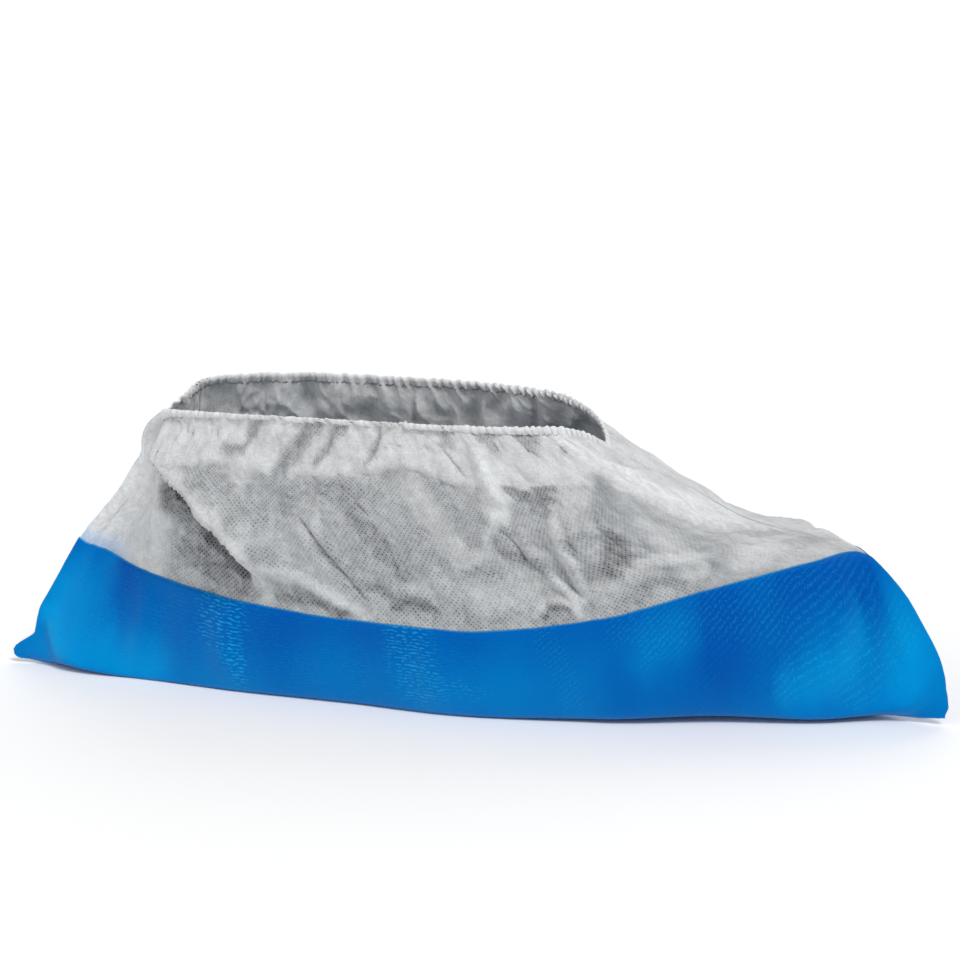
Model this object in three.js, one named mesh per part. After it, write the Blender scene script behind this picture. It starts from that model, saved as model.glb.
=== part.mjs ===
// Waterproof overshoe: a non-woven bag with a waterproof film sole and an elastic hem, in the shape
// it takes over a work shoe, and hollow where the shoe goes in.
//
// Units are millimetres. +X points to the toe, +Z is up, and -Y is the inner side of a left foot.
// The origin is on the floor under the middle of the part.
//
// The real bag is one rectangle, folded along the middle of the sole and welded at both ends. Every
// point of it is named by two lengths on that flat rectangle: `at`, from the middle towards the toe,
// and `up`, from the fold under the sole to the hem. SECTIONS says where the rectangle lies in space.

import * as THREE from 'three';

// ---------------------------------------------------------------- driving dimensions

const FLAT_HALF_LENGTH = 205;
const FLAT_DEPTH = 185;
const FILM_BAND = 87;
const SOLE_EDGE_UP = 48;

const BAG_WALL = 1.0;
const FILM_WALL = 1.0;
const LAYER_GAP = 0.3;
const WELD_WIDTH = 4;
const WELD_TAPER = 10;
const HEM_RADIUS = 1.6;
const HEM_SIDES = 8;

const COLUMNS = 46;
const LEVELS = [0, 4, 27, 44, 50, 58, 70, FILM_BAND, 99, 112, 126, 140, 154, 169, FLAT_DEPTH];

// How far each skin lies outside the hollow.
const BAG_OUTSIDE = BAG_WALL;
const FILM_INSIDE = BAG_OUTSIDE + LAYER_GAP;
const FILM_OUTSIDE = FILM_INSIDE + FILM_WALL;

// ---------------------------------------------------------------- the shape

// One row for each rib of the hollow, from heel weld to toe weld. `at` is the rib's place along the
// flat rectangle. keel is the fold under the sole, edge the rim of the sole, film the upper edge of
// the film, waist the widest place above it and hem the mouth. half is a half width, swing the
// sideways place of the rib's middle at the floor, and wall and cuff how far the wall and the cuff
// swell outward.
const SECTIONS = [
  { at: -205, keel: { x: -199, z: 1 }, edge: { x: -195, half: 0, z: 27 }, film: { x: -177.5, half: 0, z: 54.5 },
    waist: { x: -159, half: 0, z: 79.5 }, hem: { x: -139, half: 0, z: 114 }, swing: -6, wall: 2, cuff: -1 },
  { at: -188, keel: { x: -188, z: 0 }, edge: { x: -184, half: 10, z: 5 }, film: { x: -167, half: 2, z: 53.5 },
    waist: { x: -143, half: 17, z: 83 }, hem: { x: -138.5, half: 17, z: 117 }, swing: -5, wall: 1, cuff: 0 },
  { at: -150, keel: { x: -150, z: 0 }, edge: { x: -150, half: 18, z: 0 }, film: { x: -148, half: 13, z: 46.5 },
    waist: { x: -134, half: 29, z: 83.5 }, hem: { x: -130.5, half: 28, z: 121.5 }, swing: 0, wall: 1, cuff: 2 },
  { at: -100, keel: { x: -100, z: 0 }, edge: { x: -100, half: 30, z: 0 }, film: { x: -98, half: 32, z: 40 },
    waist: { x: -103, half: 39, z: 83.5 }, hem: { x: -102, half: 35, z: 123.5 }, swing: 4, wall: 2, cuff: 2 },
  { at: -50, keel: { x: -50, z: 0 }, edge: { x: -50, half: 37, z: 0 }, film: { x: -50, half: 40, z: 37 },
    waist: { x: -62, half: 43, z: 83 }, hem: { x: -68, half: 38, z: 124.5 }, swing: 6, wall: 2, cuff: 1 },
  { at: 0, keel: { x: 0, z: 0 }, edge: { x: 0, half: 43, z: 0 }, film: { x: 0, half: 46, z: 37 },
    waist: { x: -18, half: 44, z: 83 }, hem: { x: -33, half: 38, z: 124 }, swing: 5, wall: 2, cuff: 1 },
  { at: 60, keel: { x: 60, z: 0 }, edge: { x: 60, half: 44, z: 0.5 }, film: { x: 60, half: 45, z: 45 },
    waist: { x: 32, half: 44, z: 85.5 }, hem: { x: 5, half: 36, z: 123.5 }, swing: 9, wall: 2, cuff: 1 },
  { at: 105, keel: { x: 105, z: 0 }, edge: { x: 105, half: 36, z: 2 }, film: { x: 104, half: 38, z: 58 },
    waist: { x: 68, half: 37, z: 87 }, hem: { x: 29, half: 29, z: 122.5 }, swing: 10, wall: 3, cuff: 1 },
  { at: 150, keel: { x: 150, z: 0 }, edge: { x: 149, half: 22, z: 2 }, film: { x: 145, half: 21, z: 68.5 },
    waist: { x: 99, half: 22, z: 82 }, hem: { x: 47, half: 17, z: 117.5 }, swing: 3, wall: 3, cuff: 1 },
  { at: 188, keel: { x: 187, z: 0 }, edge: { x: 186, half: 5, z: 6 }, film: { x: 162, half: 5, z: 71 },
    waist: { x: 114, half: 8, z: 79 }, hem: { x: 55, half: 7, z: 110.5 }, swing: -5, wall: 4, cuff: 3 },
  { at: 205, keel: { x: 204.5, z: 1 }, edge: { x: 199, half: 0, z: 29 }, film: { x: 166, half: 0, z: 68 },
    waist: { x: 119, half: 0, z: 81 }, hem: { x: 57, half: 0, z: 107 }, swing: -9, wall: 4, cuff: 5 },
];

// The ball of the foot bulges to the outer side, so the welds lie to the inner side of the middle.
const WELD_PLANE_Y = -4.7;

// Heights on the flat rectangle that the rings of SECTIONS belong to.
const WAIST_UP = 133;
const RING_UPS = [0, SOLE_EDGE_UP, 67, FILM_BAND, WAIST_UP, 159, FLAT_DEPTH];
const WALL_SHARE = 0.45;
const CUFF_SHARE = 0.5;

// The lowest corner of the heel curls out behind it.
const HEEL_LOBE = 5;

// Main folds of each side (-1 inner, 1 outer), each a rounded ridge between two places on the flat
// rectangle, `width` from its crest to its foot. A negative height is a hollow.
const FOLDS = [
  { side: -1, from: { at: -150, up: 157 }, to: { at: -115, up: 138 }, width: 15, height: 4.5 },
  { side: -1, from: { at: -115, up: 138 }, to: { at: -91, up: 108 }, width: 15, height: 3.5 },
  { side: -1, from: { at: -152, up: 136 }, to: { at: -118, up: 112 }, width: 18, height: -4.5 },
  { side: -1, from: { at: -34, up: 176 }, to: { at: -70, up: 128 }, width: 15, height: 2.5 },
  { side: -1, from: { at: -52, up: 137 }, to: { at: -34, up: 98 }, width: 14, height: 2 },
  { side: -1, from: { at: 43, up: 168 }, to: { at: 48, up: 144 }, width: 16, height: 3 },
  { side: -1, from: { at: 78, up: 156 }, to: { at: 60, up: 100 }, width: 15, height: 2.5 },
  { side: -1, from: { at: 110, up: 144 }, to: { at: 80, up: 116 }, width: 16, height: -3 },
  { side: -1, from: { at: 62, up: 96 }, to: { at: 130, up: 101 }, width: 15, height: 2.5 },
  { side: -1, from: { at: 182, up: 74 }, to: { at: 166, up: 58 }, width: 16, height: 2 },
  { side: 1, from: { at: -146, up: 142 }, to: { at: -104, up: 108 }, width: 16, height: 3.5 },
  { side: 1, from: { at: -150, up: 116 }, to: { at: -128, up: 100 }, width: 18, height: -3 },
  { side: 1, from: { at: -48, up: 172 }, to: { at: -20, up: 118 }, width: 16, height: 2.5 },
  { side: 1, from: { at: 30, up: 168 }, to: { at: 4, up: 124 }, width: 15, height: 2 },
  { side: 1, from: { at: 74, up: 160 }, to: { at: 92, up: 118 }, width: 16, height: 2.5 },
  { side: 1, from: { at: 118, up: 150 }, to: { at: 112, up: 112 }, width: 16, height: -2.5 },
  { side: 1, from: { at: 40, up: 98 }, to: { at: 104, up: 100 }, width: 15, height: 2 },
];
// Folds die out over this much cloth towards the welds, the sole's edge and the hem.
const FOLD_FADE = 14;

// ---------------------------------------------------------------- interpolation

function slopes(places, values) {
  const last = places.length - 1;
  const secants = places.slice(1).map((place, i) => (values[i + 1] - values[i]) / (place - places[i]));
  return places.map((place, i) => {
    if (i === 0) return secants[0];
    if (i === last) return secants[last - 1];
    const before = secants[i - 1];
    const after = secants[i];
    if (before * after <= 0) return 0;
    const left = places[i] - places[i - 1];
    const right = places[i + 1] - places[i];
    const weightBefore = 2 * right + left;
    const weightAfter = right + 2 * left;
    return (weightBefore + weightAfter) / (weightBefore / before + weightAfter / after);
  });
}

// A smooth curve through the values that doesn't overshoot them.
function smoothCurve(places, values) {
  const tangents = slopes(places, values);
  return (wanted) => {
    const place = Math.min(Math.max(wanted, places[0]), places[places.length - 1]);
    let i = 0;
    while (i < places.length - 2 && place > places[i + 1]) i += 1;
    const step = places[i + 1] - places[i];
    const t = (place - places[i]) / step;
    const rise = t * t * (3 - 2 * t);
    const leave = t * (1 - t) * (1 - t) * step;
    const arrive = t * t * (t - 1) * step;
    return values[i] * (1 - rise) + values[i + 1] * rise + leave * tangents[i] + arrive * tangents[i + 1];
  };
}

const ats = SECTIONS.map((row) => row.at);

function column(pick) {
  return smoothCurve(ats, SECTIONS.map(pick));
}

const RINGS = ['edge', 'film', 'waist', 'hem'];
const ringCurves = Object.fromEntries(RINGS.map((ring) => [ring, {
  x: column((row) => row[ring].x),
  half: column((row) => row[ring].half),
  z: column((row) => row[ring].z),
}]));
const keelX = column((row) => row.keel.x);
const keelZ = column((row) => row.keel.z);
const swing = column((row) => row.swing);
const wallSwell = column((row) => row.wall);
const cuffSwell = column((row) => row.cuff);

// ---------------------------------------------------------------- the hollow's surface

// Half widths close at the inner edge of the welds, which run on outward as flat double cloth.
function insideWelds(at) {
  return at * FLAT_HALF_LENGTH / (FLAT_HALF_LENGTH - WELD_WIDTH);
}

// Level direction in which the wall swells. It turns along the welds where the two sides meet.
function outwardAt(at, side) {
  const step = 2;
  const along = ringCurves.film.x(at + step) - ringCurves.film.x(at - step);
  const across = ringCurves.film.half(at + step) - ringCurves.film.half(at - step);
  const outward = new THREE.Vector3(-across, side * along, 0).normalize();
  const apart = ringCurves.film.half(insideWelds(at)) / WELD_TAPER;
  return outward.setY(outward.y * Math.min(1, apart));
}

function eased(value, low, high) {
  const t = Math.min(Math.max((value - low) / (high - low), 0), 1);
  return t * t * (3 - 2 * t);
}

function heelLobe(at, up) {
  return HEEL_LOBE * eased(-at, 178, 203) * (1 - eased(up, 4, 36));
}

function rib(at, side) {
  const wide = insideWelds(at);
  const lean = swing(at);
  const ringPoint = (ring, share) => new THREE.Vector3(
    ringCurves[ring].x(at),
    WELD_PLANE_Y + lean * share + side * ringCurves[ring].half(wide),
    ringCurves[ring].z(at) + FILM_OUTSIDE,
  );
  const keel = new THREE.Vector3(keelX(at), WELD_PLANE_Y + lean, keelZ(at) + FILM_OUTSIDE);
  const edge = ringPoint('edge', 1);
  const film = ringPoint('film', 0.5);
  const waist = ringPoint('waist', 0);
  const hem = ringPoint('hem', 0);
  const outward = outwardAt(at, side);
  const wall = edge.clone().lerp(film, WALL_SHARE).addScaledVector(outward, wallSwell(at));
  const cuff = waist.clone().lerp(hem, CUFF_SHARE).addScaledVector(outward, cuffSwell(at));
  const points = [keel, edge, wall, film, waist, cuff, hem];
  const curves = ['x', 'y', 'z'].map((axis) => smoothCurve(RING_UPS, points.map((point) => point[axis])));
  return (up) => new THREE.Vector3(curves[0](up) - heelLobe(at, up), curves[1](up), curves[2](up));
}

function distanceToFold(fold, at, up) {
  const runAt = fold.to.at - fold.from.at;
  const runUp = fold.to.up - fold.from.up;
  const share = ((at - fold.from.at) * runAt + (up - fold.from.up) * runUp) / (runAt ** 2 + runUp ** 2);
  const along = Math.min(Math.max(share, 0), 1);
  return Math.hypot(at - fold.from.at - along * runAt, up - fold.from.up - along * runUp);
}

function foldHeight(at, up, side) {
  const toWeld = FLAT_HALF_LENGTH - WELD_WIDTH - Math.abs(at);
  const toEdge = Math.min(toWeld, up - SOLE_EDGE_UP, FLAT_DEPTH - up);
  const fade = Math.min(Math.max(toEdge / FOLD_FADE, 0), 1);
  return FOLDS.filter((fold) => fold.side === side).reduce((sum, fold) => {
    const share = Math.min(distanceToFold(fold, at, up) / fold.width, 1);
    return sum + fade * fold.height * Math.cos(share * Math.PI / 2) ** 2;
  }, 0);
}

// ---------------------------------------------------------------- skins

const DOWN = new THREE.Vector3(0, 0, -1);
const SIDES = [-1, 1];

// Places of the ribs along the flat rectangle, from one weld's inner edge to the other's.
const RIB_ATS = Array.from(
  { length: COLUMNS + 1 },
  (_, i) => (2 * i / COLUMNS - 1) * (FLAT_HALF_LENGTH - WELD_WIDTH),
);

// Outward directions of one side of the hollow; at the welds they turn square to the welded edge.
function outwardDirections(grid, side) {
  const lastRib = grid.length - 1;
  return grid.map((points, i) => points.map((point, j) => {
    if (j === 0) return DOWN.clone();
    const before = grid[Math.max(i - 1, 0)][j];
    const after = grid[Math.min(i + 1, lastRib)][j];
    const along = after.clone().sub(before);
    const upward = points[Math.min(j + 1, points.length - 1)].clone().sub(points[j - 1]);
    const direction = along.cross(upward).multiplyScalar(-side).normalize();
    if (i === 0 || i === lastRib) direction.y += side;
    return direction.normalize();
  }));
}

function moved(grid, directions, distance) {
  return grid.map((points, i) => points.map(
    (point, j) => point.clone().addScaledVector(directions[i][j], distance(i, j)),
  ));
}

// One side of the hollow with its folds: a list of ribs, each a list of points from the keel up.
function hollowSide(side) {
  const smooth = RIB_ATS.map((at) => {
    const pointAt = rib(at, side);
    return LEVELS.map((up) => pointAt(up));
  });
  const height = (i, j) => foldHeight(RIB_ATS[i], LEVELS[j], side);
  return moved(smooth, outwardDirections(smooth, side), height);
}

// The outer edge of a weld: the seam line moved outward within the middle plane. At the mouth the
// weld is trimmed to half its width, level with the cloth's edge.
function weldEdge(seam, end) {
  const mouth = seam.length - 1;
  return seam.map((point, j) => {
    if (j === mouth) return point.clone().add(new THREE.Vector3(end * WELD_WIDTH / 2, 0, 0));
    const run = seam[j + 1].clone().sub(seam[Math.max(j - 1, 0)]).setY(0).normalize();
    return point.clone().add(new THREE.Vector3(run.z, 0, -run.x).multiplyScalar(end * WELD_WIDTH));
  });
}

function weldSide(seam, end, offset, side) {
  return weldEdge(seam, end).map((point, j) => {
    const direction = j === 0 ? DOWN : new THREE.Vector3(0, side, 0);
    return point.addScaledVector(direction, offset);
  });
}

// A skin that lies `offset` outside the hollow, up to the height `top` on the flat rectangle: a list
// of ribs, each running from the top of the near side under the sole to the top of the far side.
function skin(top, offset, withWelds) {
  const used = LEVELS.indexOf(top) + 1;
  const [near, far] = SIDES.map((side) => {
    const grid = hollowSide(side);
    const offsetGrid = moved(grid, outwardDirections(grid, side), () => offset);
    const heelWeld = weldSide(grid[0], -1, offset, side);
    const toeWeld = weldSide(grid[grid.length - 1], 1, offset, side);
    const ribs = withWelds ? [heelWeld, ...offsetGrid, toeWeld] : offsetGrid;
    return ribs.map((points) => points.slice(0, used));
  });
  return near.map((points, i) => [...points.slice(1).reverse(), ...far[i]]);
}

// ---------------------------------------------------------------- closed bodies from skins

// Collects triangles and joins corners that lie at the same place.
class Body {
  constructor() {
    this.positions = [];
    this.triangles = [];
    this.known = new Map();
  }

  corner(point) {
    const key = point.toArray().map((value) => value.toFixed(4)).join(' ');
    if (!this.known.has(key)) {
      this.known.set(key, this.positions.length / 3);
      this.positions.push(point.x, point.y, point.z);
    }
    return this.known.get(key);
  }

  triangle(a, b, c) {
    const corners = [a, b, c].map((point) => this.corner(point));
    if (new Set(corners).size === 3) this.triangles.push(...corners);
  }

  quad(a, b, c, d) {
    this.triangle(a, b, c);
    this.triangle(a, c, d);
  }

  sheet(grid, facingOut) {
    for (let i = 0; i < grid.length - 1; i += 1) {
      for (let k = 0; k < grid[i].length - 1; k += 1) {
        const [a, b, c, d] = [grid[i][k], grid[i][k + 1], grid[i + 1][k + 1], grid[i + 1][k]];
        if (facingOut) this.quad(a, b, c, d);
        else this.quad(a, d, c, b);
      }
    }
  }

  // Closes the gap between two edges that run side by side.
  rim(outer, inner) {
    for (let i = 0; i < outer.length - 1; i += 1) {
      this.quad(outer[i], outer[i + 1], inner[i + 1], inner[i]);
    }
  }

  geometry() {
    const geometry = new THREE.BufferGeometry();
    geometry.setAttribute('position', new THREE.Float32BufferAttribute(this.positions, 3));
    geometry.setIndex(this.triangles);
    geometry.computeVertexNormals();
    return geometry;
  }
}

function firstOf(grid) {
  return grid.map((points) => points[0]);
}

function lastOf(grid) {
  return grid.map((points) => points[points.length - 1]);
}

// ---------------------------------------------------------------- the pieces

function bagGeometry() {
  const keel = LEVELS.length - 1;
  const outside = skin(FLAT_DEPTH, BAG_OUTSIDE, true);
  const hollow = skin(FLAT_DEPTH, 0, false);
  const body = new Body();
  body.sheet(outside, true);
  body.sheet(hollow, false);

  const heelEnd = outside[0];
  const toeEnd = outside[outside.length - 1];
  for (let k = 0; k < keel; k += 1) {
    const opposite = 2 * keel - k;
    body.quad(heelEnd[k], heelEnd[opposite], heelEnd[opposite - 1], heelEnd[k + 1]);
    body.quad(toeEnd[opposite], toeEnd[k], toeEnd[k + 1], toeEnd[opposite - 1]);
  }

  const top = outside.slice(1, -1);
  body.rim(firstOf(top), firstOf(hollow));
  body.rim(lastOf(hollow), lastOf(top));
  const heelTop = [outside[0], outside[1], hollow[0]];
  const toeTop = [toeEnd, outside[outside.length - 2], hollow[hollow.length - 1]];
  const [heelNear, heelInsideNear, heelPoint] = firstOf(heelTop);
  const [heelFar, heelInsideFar] = lastOf(heelTop);
  body.triangle(heelNear, heelInsideNear, heelPoint);
  body.triangle(heelNear, heelPoint, heelFar);
  body.triangle(heelFar, heelPoint, heelInsideFar);
  const [toeNear, toeInsideNear, toePoint] = firstOf(toeTop);
  const [toeFar, toeInsideFar] = lastOf(toeTop);
  body.triangle(toeNear, toePoint, toeInsideNear);
  body.triangle(toeNear, toeFar, toePoint);
  body.triangle(toeFar, toeInsideFar, toePoint);
  return body.geometry();
}

function filmGeometry() {
  const outside = skin(FILM_BAND, FILM_OUTSIDE, true);
  const inside = skin(FILM_BAND, FILM_INSIDE, true);
  const body = new Body();
  body.sheet(outside, true);
  body.sheet(inside, false);
  body.rim(firstOf(outside), firstOf(inside));
  body.rim(lastOf(inside), lastOf(outside));
  body.rim(inside[0], outside[0]);
  body.rim(outside[outside.length - 1], inside[inside.length - 1]);
  return body.geometry();
}

// The line round the mouth on the cloth's edge, `offset` outside the hollow.
function mouthLine(offset) {
  const mouth = skin(FLAT_DEPTH, offset, false);
  const near = firstOf(mouth);
  const far = lastOf(mouth);
  const heel = near[0].clone().lerp(far[0], 0.5);
  const toe = near[near.length - 1].clone().lerp(far[far.length - 1], 0.5);
  return [heel, ...near.slice(1, -1), toe, ...far.slice(1, -1).reverse()];
}

// A closed round casing that sits just clear of the cloth's edge.
function hemGeometry() {
  const line = mouthLine(BAG_WALL / 2);
  const outerLine = mouthLine(BAG_OUTSIDE);
  const count = line.length;
  const up = new THREE.Vector3(0, 0, 1);
  const rings = line.map((point, i) => {
    const before = line[(i + count - 1) % count];
    const after = line[(i + 1) % count];
    const tangent = after.clone().sub(before).normalize();
    const across = new THREE.Vector3().crossVectors(tangent, up).normalize();
    const over = new THREE.Vector3().crossVectors(across, tangent);
    const edgeRise = Math.abs(outerLine[i].clone().sub(point).dot(over));
    const centre = point.clone().addScaledVector(over, HEM_RADIUS + LAYER_GAP + edgeRise);
    return Array.from({ length: HEM_SIDES + 1 }, (_, j) => {
      const angle = 2 * Math.PI * (j % HEM_SIDES) / HEM_SIDES;
      return centre.clone()
        .addScaledVector(across, HEM_RADIUS * Math.cos(angle))
        .addScaledVector(over, HEM_RADIUS * Math.sin(angle));
    });
  });
  const body = new Body();
  body.sheet([...rings, rings[0]], false);
  return body.geometry();
}

const NONWOVEN = new THREE.MeshStandardMaterial({ color: 0xd3d8db, roughness: 0.85, metalness: 0 });
const FILM = new THREE.MeshStandardMaterial({ color: 0x0a76c4, roughness: 0.3, metalness: 0 });
const HEM = new THREE.MeshStandardMaterial({ color: 0xe2e6e8, roughness: 0.85, metalness: 0 });

function piece(name, geometry, material) {
  const mesh = new THREE.Mesh(geometry, material);
  mesh.name = name;
  return mesh;
}

const overshoe = new THREE.Group();
overshoe.add(
  piece('nonwoven_bag', bagGeometry(), NONWOVEN),
  piece('sole_film', filmGeometry(), FILM),
  piece('elastic_hem', hemGeometry(), HEM),
);

export default overshoe;
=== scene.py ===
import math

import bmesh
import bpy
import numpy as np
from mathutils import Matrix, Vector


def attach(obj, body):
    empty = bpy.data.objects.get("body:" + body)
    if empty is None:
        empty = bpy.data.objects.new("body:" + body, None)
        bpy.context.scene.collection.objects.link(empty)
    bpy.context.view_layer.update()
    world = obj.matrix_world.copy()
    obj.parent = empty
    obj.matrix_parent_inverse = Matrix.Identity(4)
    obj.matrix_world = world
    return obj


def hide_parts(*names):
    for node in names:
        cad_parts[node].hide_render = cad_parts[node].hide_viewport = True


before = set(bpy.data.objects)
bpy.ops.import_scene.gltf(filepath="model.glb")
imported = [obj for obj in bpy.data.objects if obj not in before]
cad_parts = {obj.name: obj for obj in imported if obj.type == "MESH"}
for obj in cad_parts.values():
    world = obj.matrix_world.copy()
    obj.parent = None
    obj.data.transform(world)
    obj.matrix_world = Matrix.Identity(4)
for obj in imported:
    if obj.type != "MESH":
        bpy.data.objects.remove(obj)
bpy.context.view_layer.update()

# Waterproof overshoe, worn shape: a white non-woven bag, a blue film over its sole and lower sides,
# and a gathered elastic hem. Every point of the cloth is named by its place on the flat bag: `at`,
# from the middle towards the toe, and `up`, from the fold under the sole to the hem, both in mm.
# side is -1 for the near (inner) side of the foot and 1 for the far side.

MM = 0.001
SIDES = (-1, 1)

# ---------------------------------------------------------------- camera

VIEW_AZIMUTH = math.radians(12)
VIEW_ELEVATION = math.radians(16)
VIEW_DISTANCE = 1.5
VIEW_HEIGHT = 0.060
AIM_RAISED = 0.0315
FOCAL_LENGTH = 130.2


def make_camera():
    back = Vector((
        math.sin(VIEW_AZIMUTH) * math.cos(VIEW_ELEVATION),
        -math.cos(VIEW_AZIMUTH) * math.cos(VIEW_ELEVATION),
        math.sin(VIEW_ELEVATION),
    ))
    right = Vector((math.cos(VIEW_AZIMUTH), math.sin(VIEW_AZIMUTH), 0))
    middle = Vector((0, 0, VIEW_HEIGHT))
    camera = bpy.data.objects.new("camera", bpy.data.cameras.new("camera"))
    camera.location = middle + back * VIEW_DISTANCE
    aim = middle + back.cross(right) * AIM_RAISED
    camera.rotation_euler = (aim - camera.location).to_track_quat("-Z", "Y").to_euler()
    camera.data.lens = FOCAL_LENGTH
    camera.data.sensor_width = 36
    camera.data.clip_start = 0.05
    camera.data.clip_end = 50
    bpy.context.collection.objects.link(camera)
    bpy.context.scene.camera = camera


make_camera()

# ---------------------------------------------------------------- the flat bag and its shape, in mm

FLAT_HALF_LENGTH = 205
FLAT_DEPTH = 185
FILM_BAND = 87
SOLE_EDGE_UP = 48
WELD_WIDTH = 4
WELD_TAPER = 10
WELD_PLANE_Y = -4.7
STANDS_ABOVE_FLOOR = 1.5

WAIST_UP = 133
RING_UPS = np.array([0, SOLE_EDGE_UP, 67, FILM_BAND, WAIST_UP, 159, FLAT_DEPTH], float)
HEEL_LOBE = 9  # the film's corner curls out behind the heel
HEEL_CUFF = 4  # the cloth under the hem swells out behind the heel
WALL_SHARE = 0.45
CUFF_SHARE = 0.5

# One row for each rib: at | keel x, z | edge x, half, z | film x, half, z | waist x, half, z |
# hem x, half, z | swing, wall, cuff. half is a half width, swing the sideways place of the rib's
# middle at the floor, and wall and cuff how far the wall and the cuff swell outward.
SECTIONS = np.array([
    [-205, -200, 1, -196.5, 0, 27, -177.5, 0, 55.5, -159, 0, 80.5, -139, 0, 115, -6, 2, -1],
    [-188, -188, 0, -184, 10, 5, -167, 2, 53, -143, 17, 84, -135, 16, 117.5, -5, 1, 4],
    [-150, -150, 0, -150, 18, 0, -148, 13, 47.5, -134, 29, 84.5, -128.5, 27, 122.5, 0, 1, 3],
    [-100, -100, 0, -100, 30, 0, -98, 32, 41, -103, 39, 84.5, -102, 35, 124.5, 4, 2, 2],
    [-50, -50, 0, -50, 37, 0, -50, 40, 38, -62, 43, 84, -68, 38, 125.2, 6, 2, 1],
    [0, 0, 0, 0, 43, 0, 0, 46, 38, -18, 44, 84, -33, 38, 125, 5, 2, 1],
    [60, 60, 0, 60, 44, 1.5, 60, 45, 46, 32, 44, 86.5, 5, 36, 124.3, 9, 2, 1],
    [105, 105, 0, 105, 36, 3, 104, 38, 59, 68, 37, 88, 29, 29, 123.3, 10, 3, 1],
    [150, 150, 0, 149, 22, 2, 145, 21, 69.5, 99, 22, 83, 47, 17, 118.5, 3, 3, 1],
    [188, 187, 1.5, 185, 4.5, 7, 162, 4, 71.5, 114, 6, 80, 55, 7, 111.5, -5, 4, 3],
    [205, 204.5, 2, 200.5, 0, 29, 169, 0, 70, 119, 0, 82, 57, 0, 108, -9, 4, 5],
], float)
ROW = {name: SECTIONS[:, column] for column, name in enumerate((
    "at", "keel_x", "keel_z", "edge_x", "edge_half", "edge_z", "film_x", "film_half", "film_z",
    "waist_x", "waist_half", "waist_z", "hem_x", "hem_half", "hem_z", "swing", "wall", "cuff",
))}


def eased(value, low, high):
    t = np.clip((value - low) / (high - low), 0, 1)
    return t * t * (3 - 2 * t)


def slopes(places, values):
    gaps = np.diff(places)
    secants = np.diff(values, axis=-1) / gaps
    before = secants[..., :-1]
    after = secants[..., 1:]
    weight_before = 2 * gaps[1:] + gaps[:-1]
    weight_after = gaps[1:] + 2 * gaps[:-1]
    agree = before * after > 0
    safe_before = np.where(agree, before, 1)
    safe_after = np.where(agree, after, 1)
    blend = (weight_before + weight_after) / (weight_before / safe_before + weight_after / safe_after)
    return np.concatenate([secants[..., :1], np.where(agree, blend, 0), secants[..., -1:]], axis=-1)


def smooth_curve(places, values, wanted):
    """A curve through values (the last axis) at places that doesn't overshoot, read at wanted."""
    tangents = slopes(places, values)
    wanted = np.clip(wanted, places[0], places[-1])
    i = np.clip(np.searchsorted(places, wanted, side="left") - 1, 0, len(places) - 2)
    step = places[i + 1] - places[i]
    t = (wanted - places[i]) / step
    rise = t * t * (3 - 2 * t)
    leave = t * (1 - t) ** 2 * step
    arrive = t * t * (t - 1) * step
    ends = values[..., i] * (1 - rise) + values[..., i + 1] * rise
    return ends + leave * tangents[..., i] + arrive * tangents[..., i + 1]


def column(name, at):
    return smooth_curve(ROW["at"], ROW[name], at)


def inside_welds(at):
    return at * FLAT_HALF_LENGTH / (FLAT_HALF_LENGTH - WELD_WIDTH)


def outward_at(at, side):
    """Level direction in which the wall swells; it turns along the welds, where the sides meet."""
    along = column("film_x", at + 2) - column("film_x", at - 2)
    across = column("film_half", at + 2) - column("film_half", at - 2)
    outward = np.stack([-across, side * along, np.zeros_like(at)], axis=-1)
    outward /= np.linalg.norm(outward, axis=-1, keepdims=True)
    outward[:, 1] *= np.minimum(1, column("film_half", inside_welds(at)) / WELD_TAPER)
    return outward


def smooth_side(at, up, side):
    """The hollow without its folds: points[rib, level] in mm."""
    def ring(name, share):
        half = column(name + "_half", inside_welds(at))
        y = WELD_PLANE_Y + column("swing", at) * share + side * half
        return np.stack([column(name + "_x", at), y, column(name + "_z", at) + STANDS_ABOVE_FLOOR], axis=-1)

    keel_y = WELD_PLANE_Y + column("swing", at)
    keel = np.stack([column("keel_x", at), keel_y, column("keel_z", at) + STANDS_ABOVE_FLOOR], axis=-1)
    edge = ring("edge", 1)
    film = ring("film", 0.5)
    waist = ring("waist", 0)
    hem = ring("hem", 0)
    outward = outward_at(at, side)
    wall = edge + (film - edge) * WALL_SHARE + outward * column("wall", at)[:, None]
    cuff = waist + (hem - waist) * CUFF_SHARE + outward * column("cuff", at)[:, None]
    points = np.stack([keel, edge, wall, film, waist, cuff, hem], axis=-1)
    surface = smooth_curve(RING_UPS, points, up).transpose(0, 2, 1)
    # Behind the heel the film's corner curls out, and so does the cloth just under the hem.
    lobe = (1 - eased(up, 7, 30)) * (0.6 + 0.4 * eased(up, 0, 8))
    cuff_swell = eased(up, 150, 171) * (1 - eased(up, 173, 186))
    surface[..., 0] -= HEEL_LOBE * eased(-at, 182, 201)[:, None] * lobe
    surface[..., 0] -= HEEL_CUFF * eased(-at, 170, 200)[:, None] * cuff_swell
    return surface


# ---------------------------------------------------------------- folds

FOLD_FADE = 14
FOLD_STRENGTH = 1.3

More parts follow.
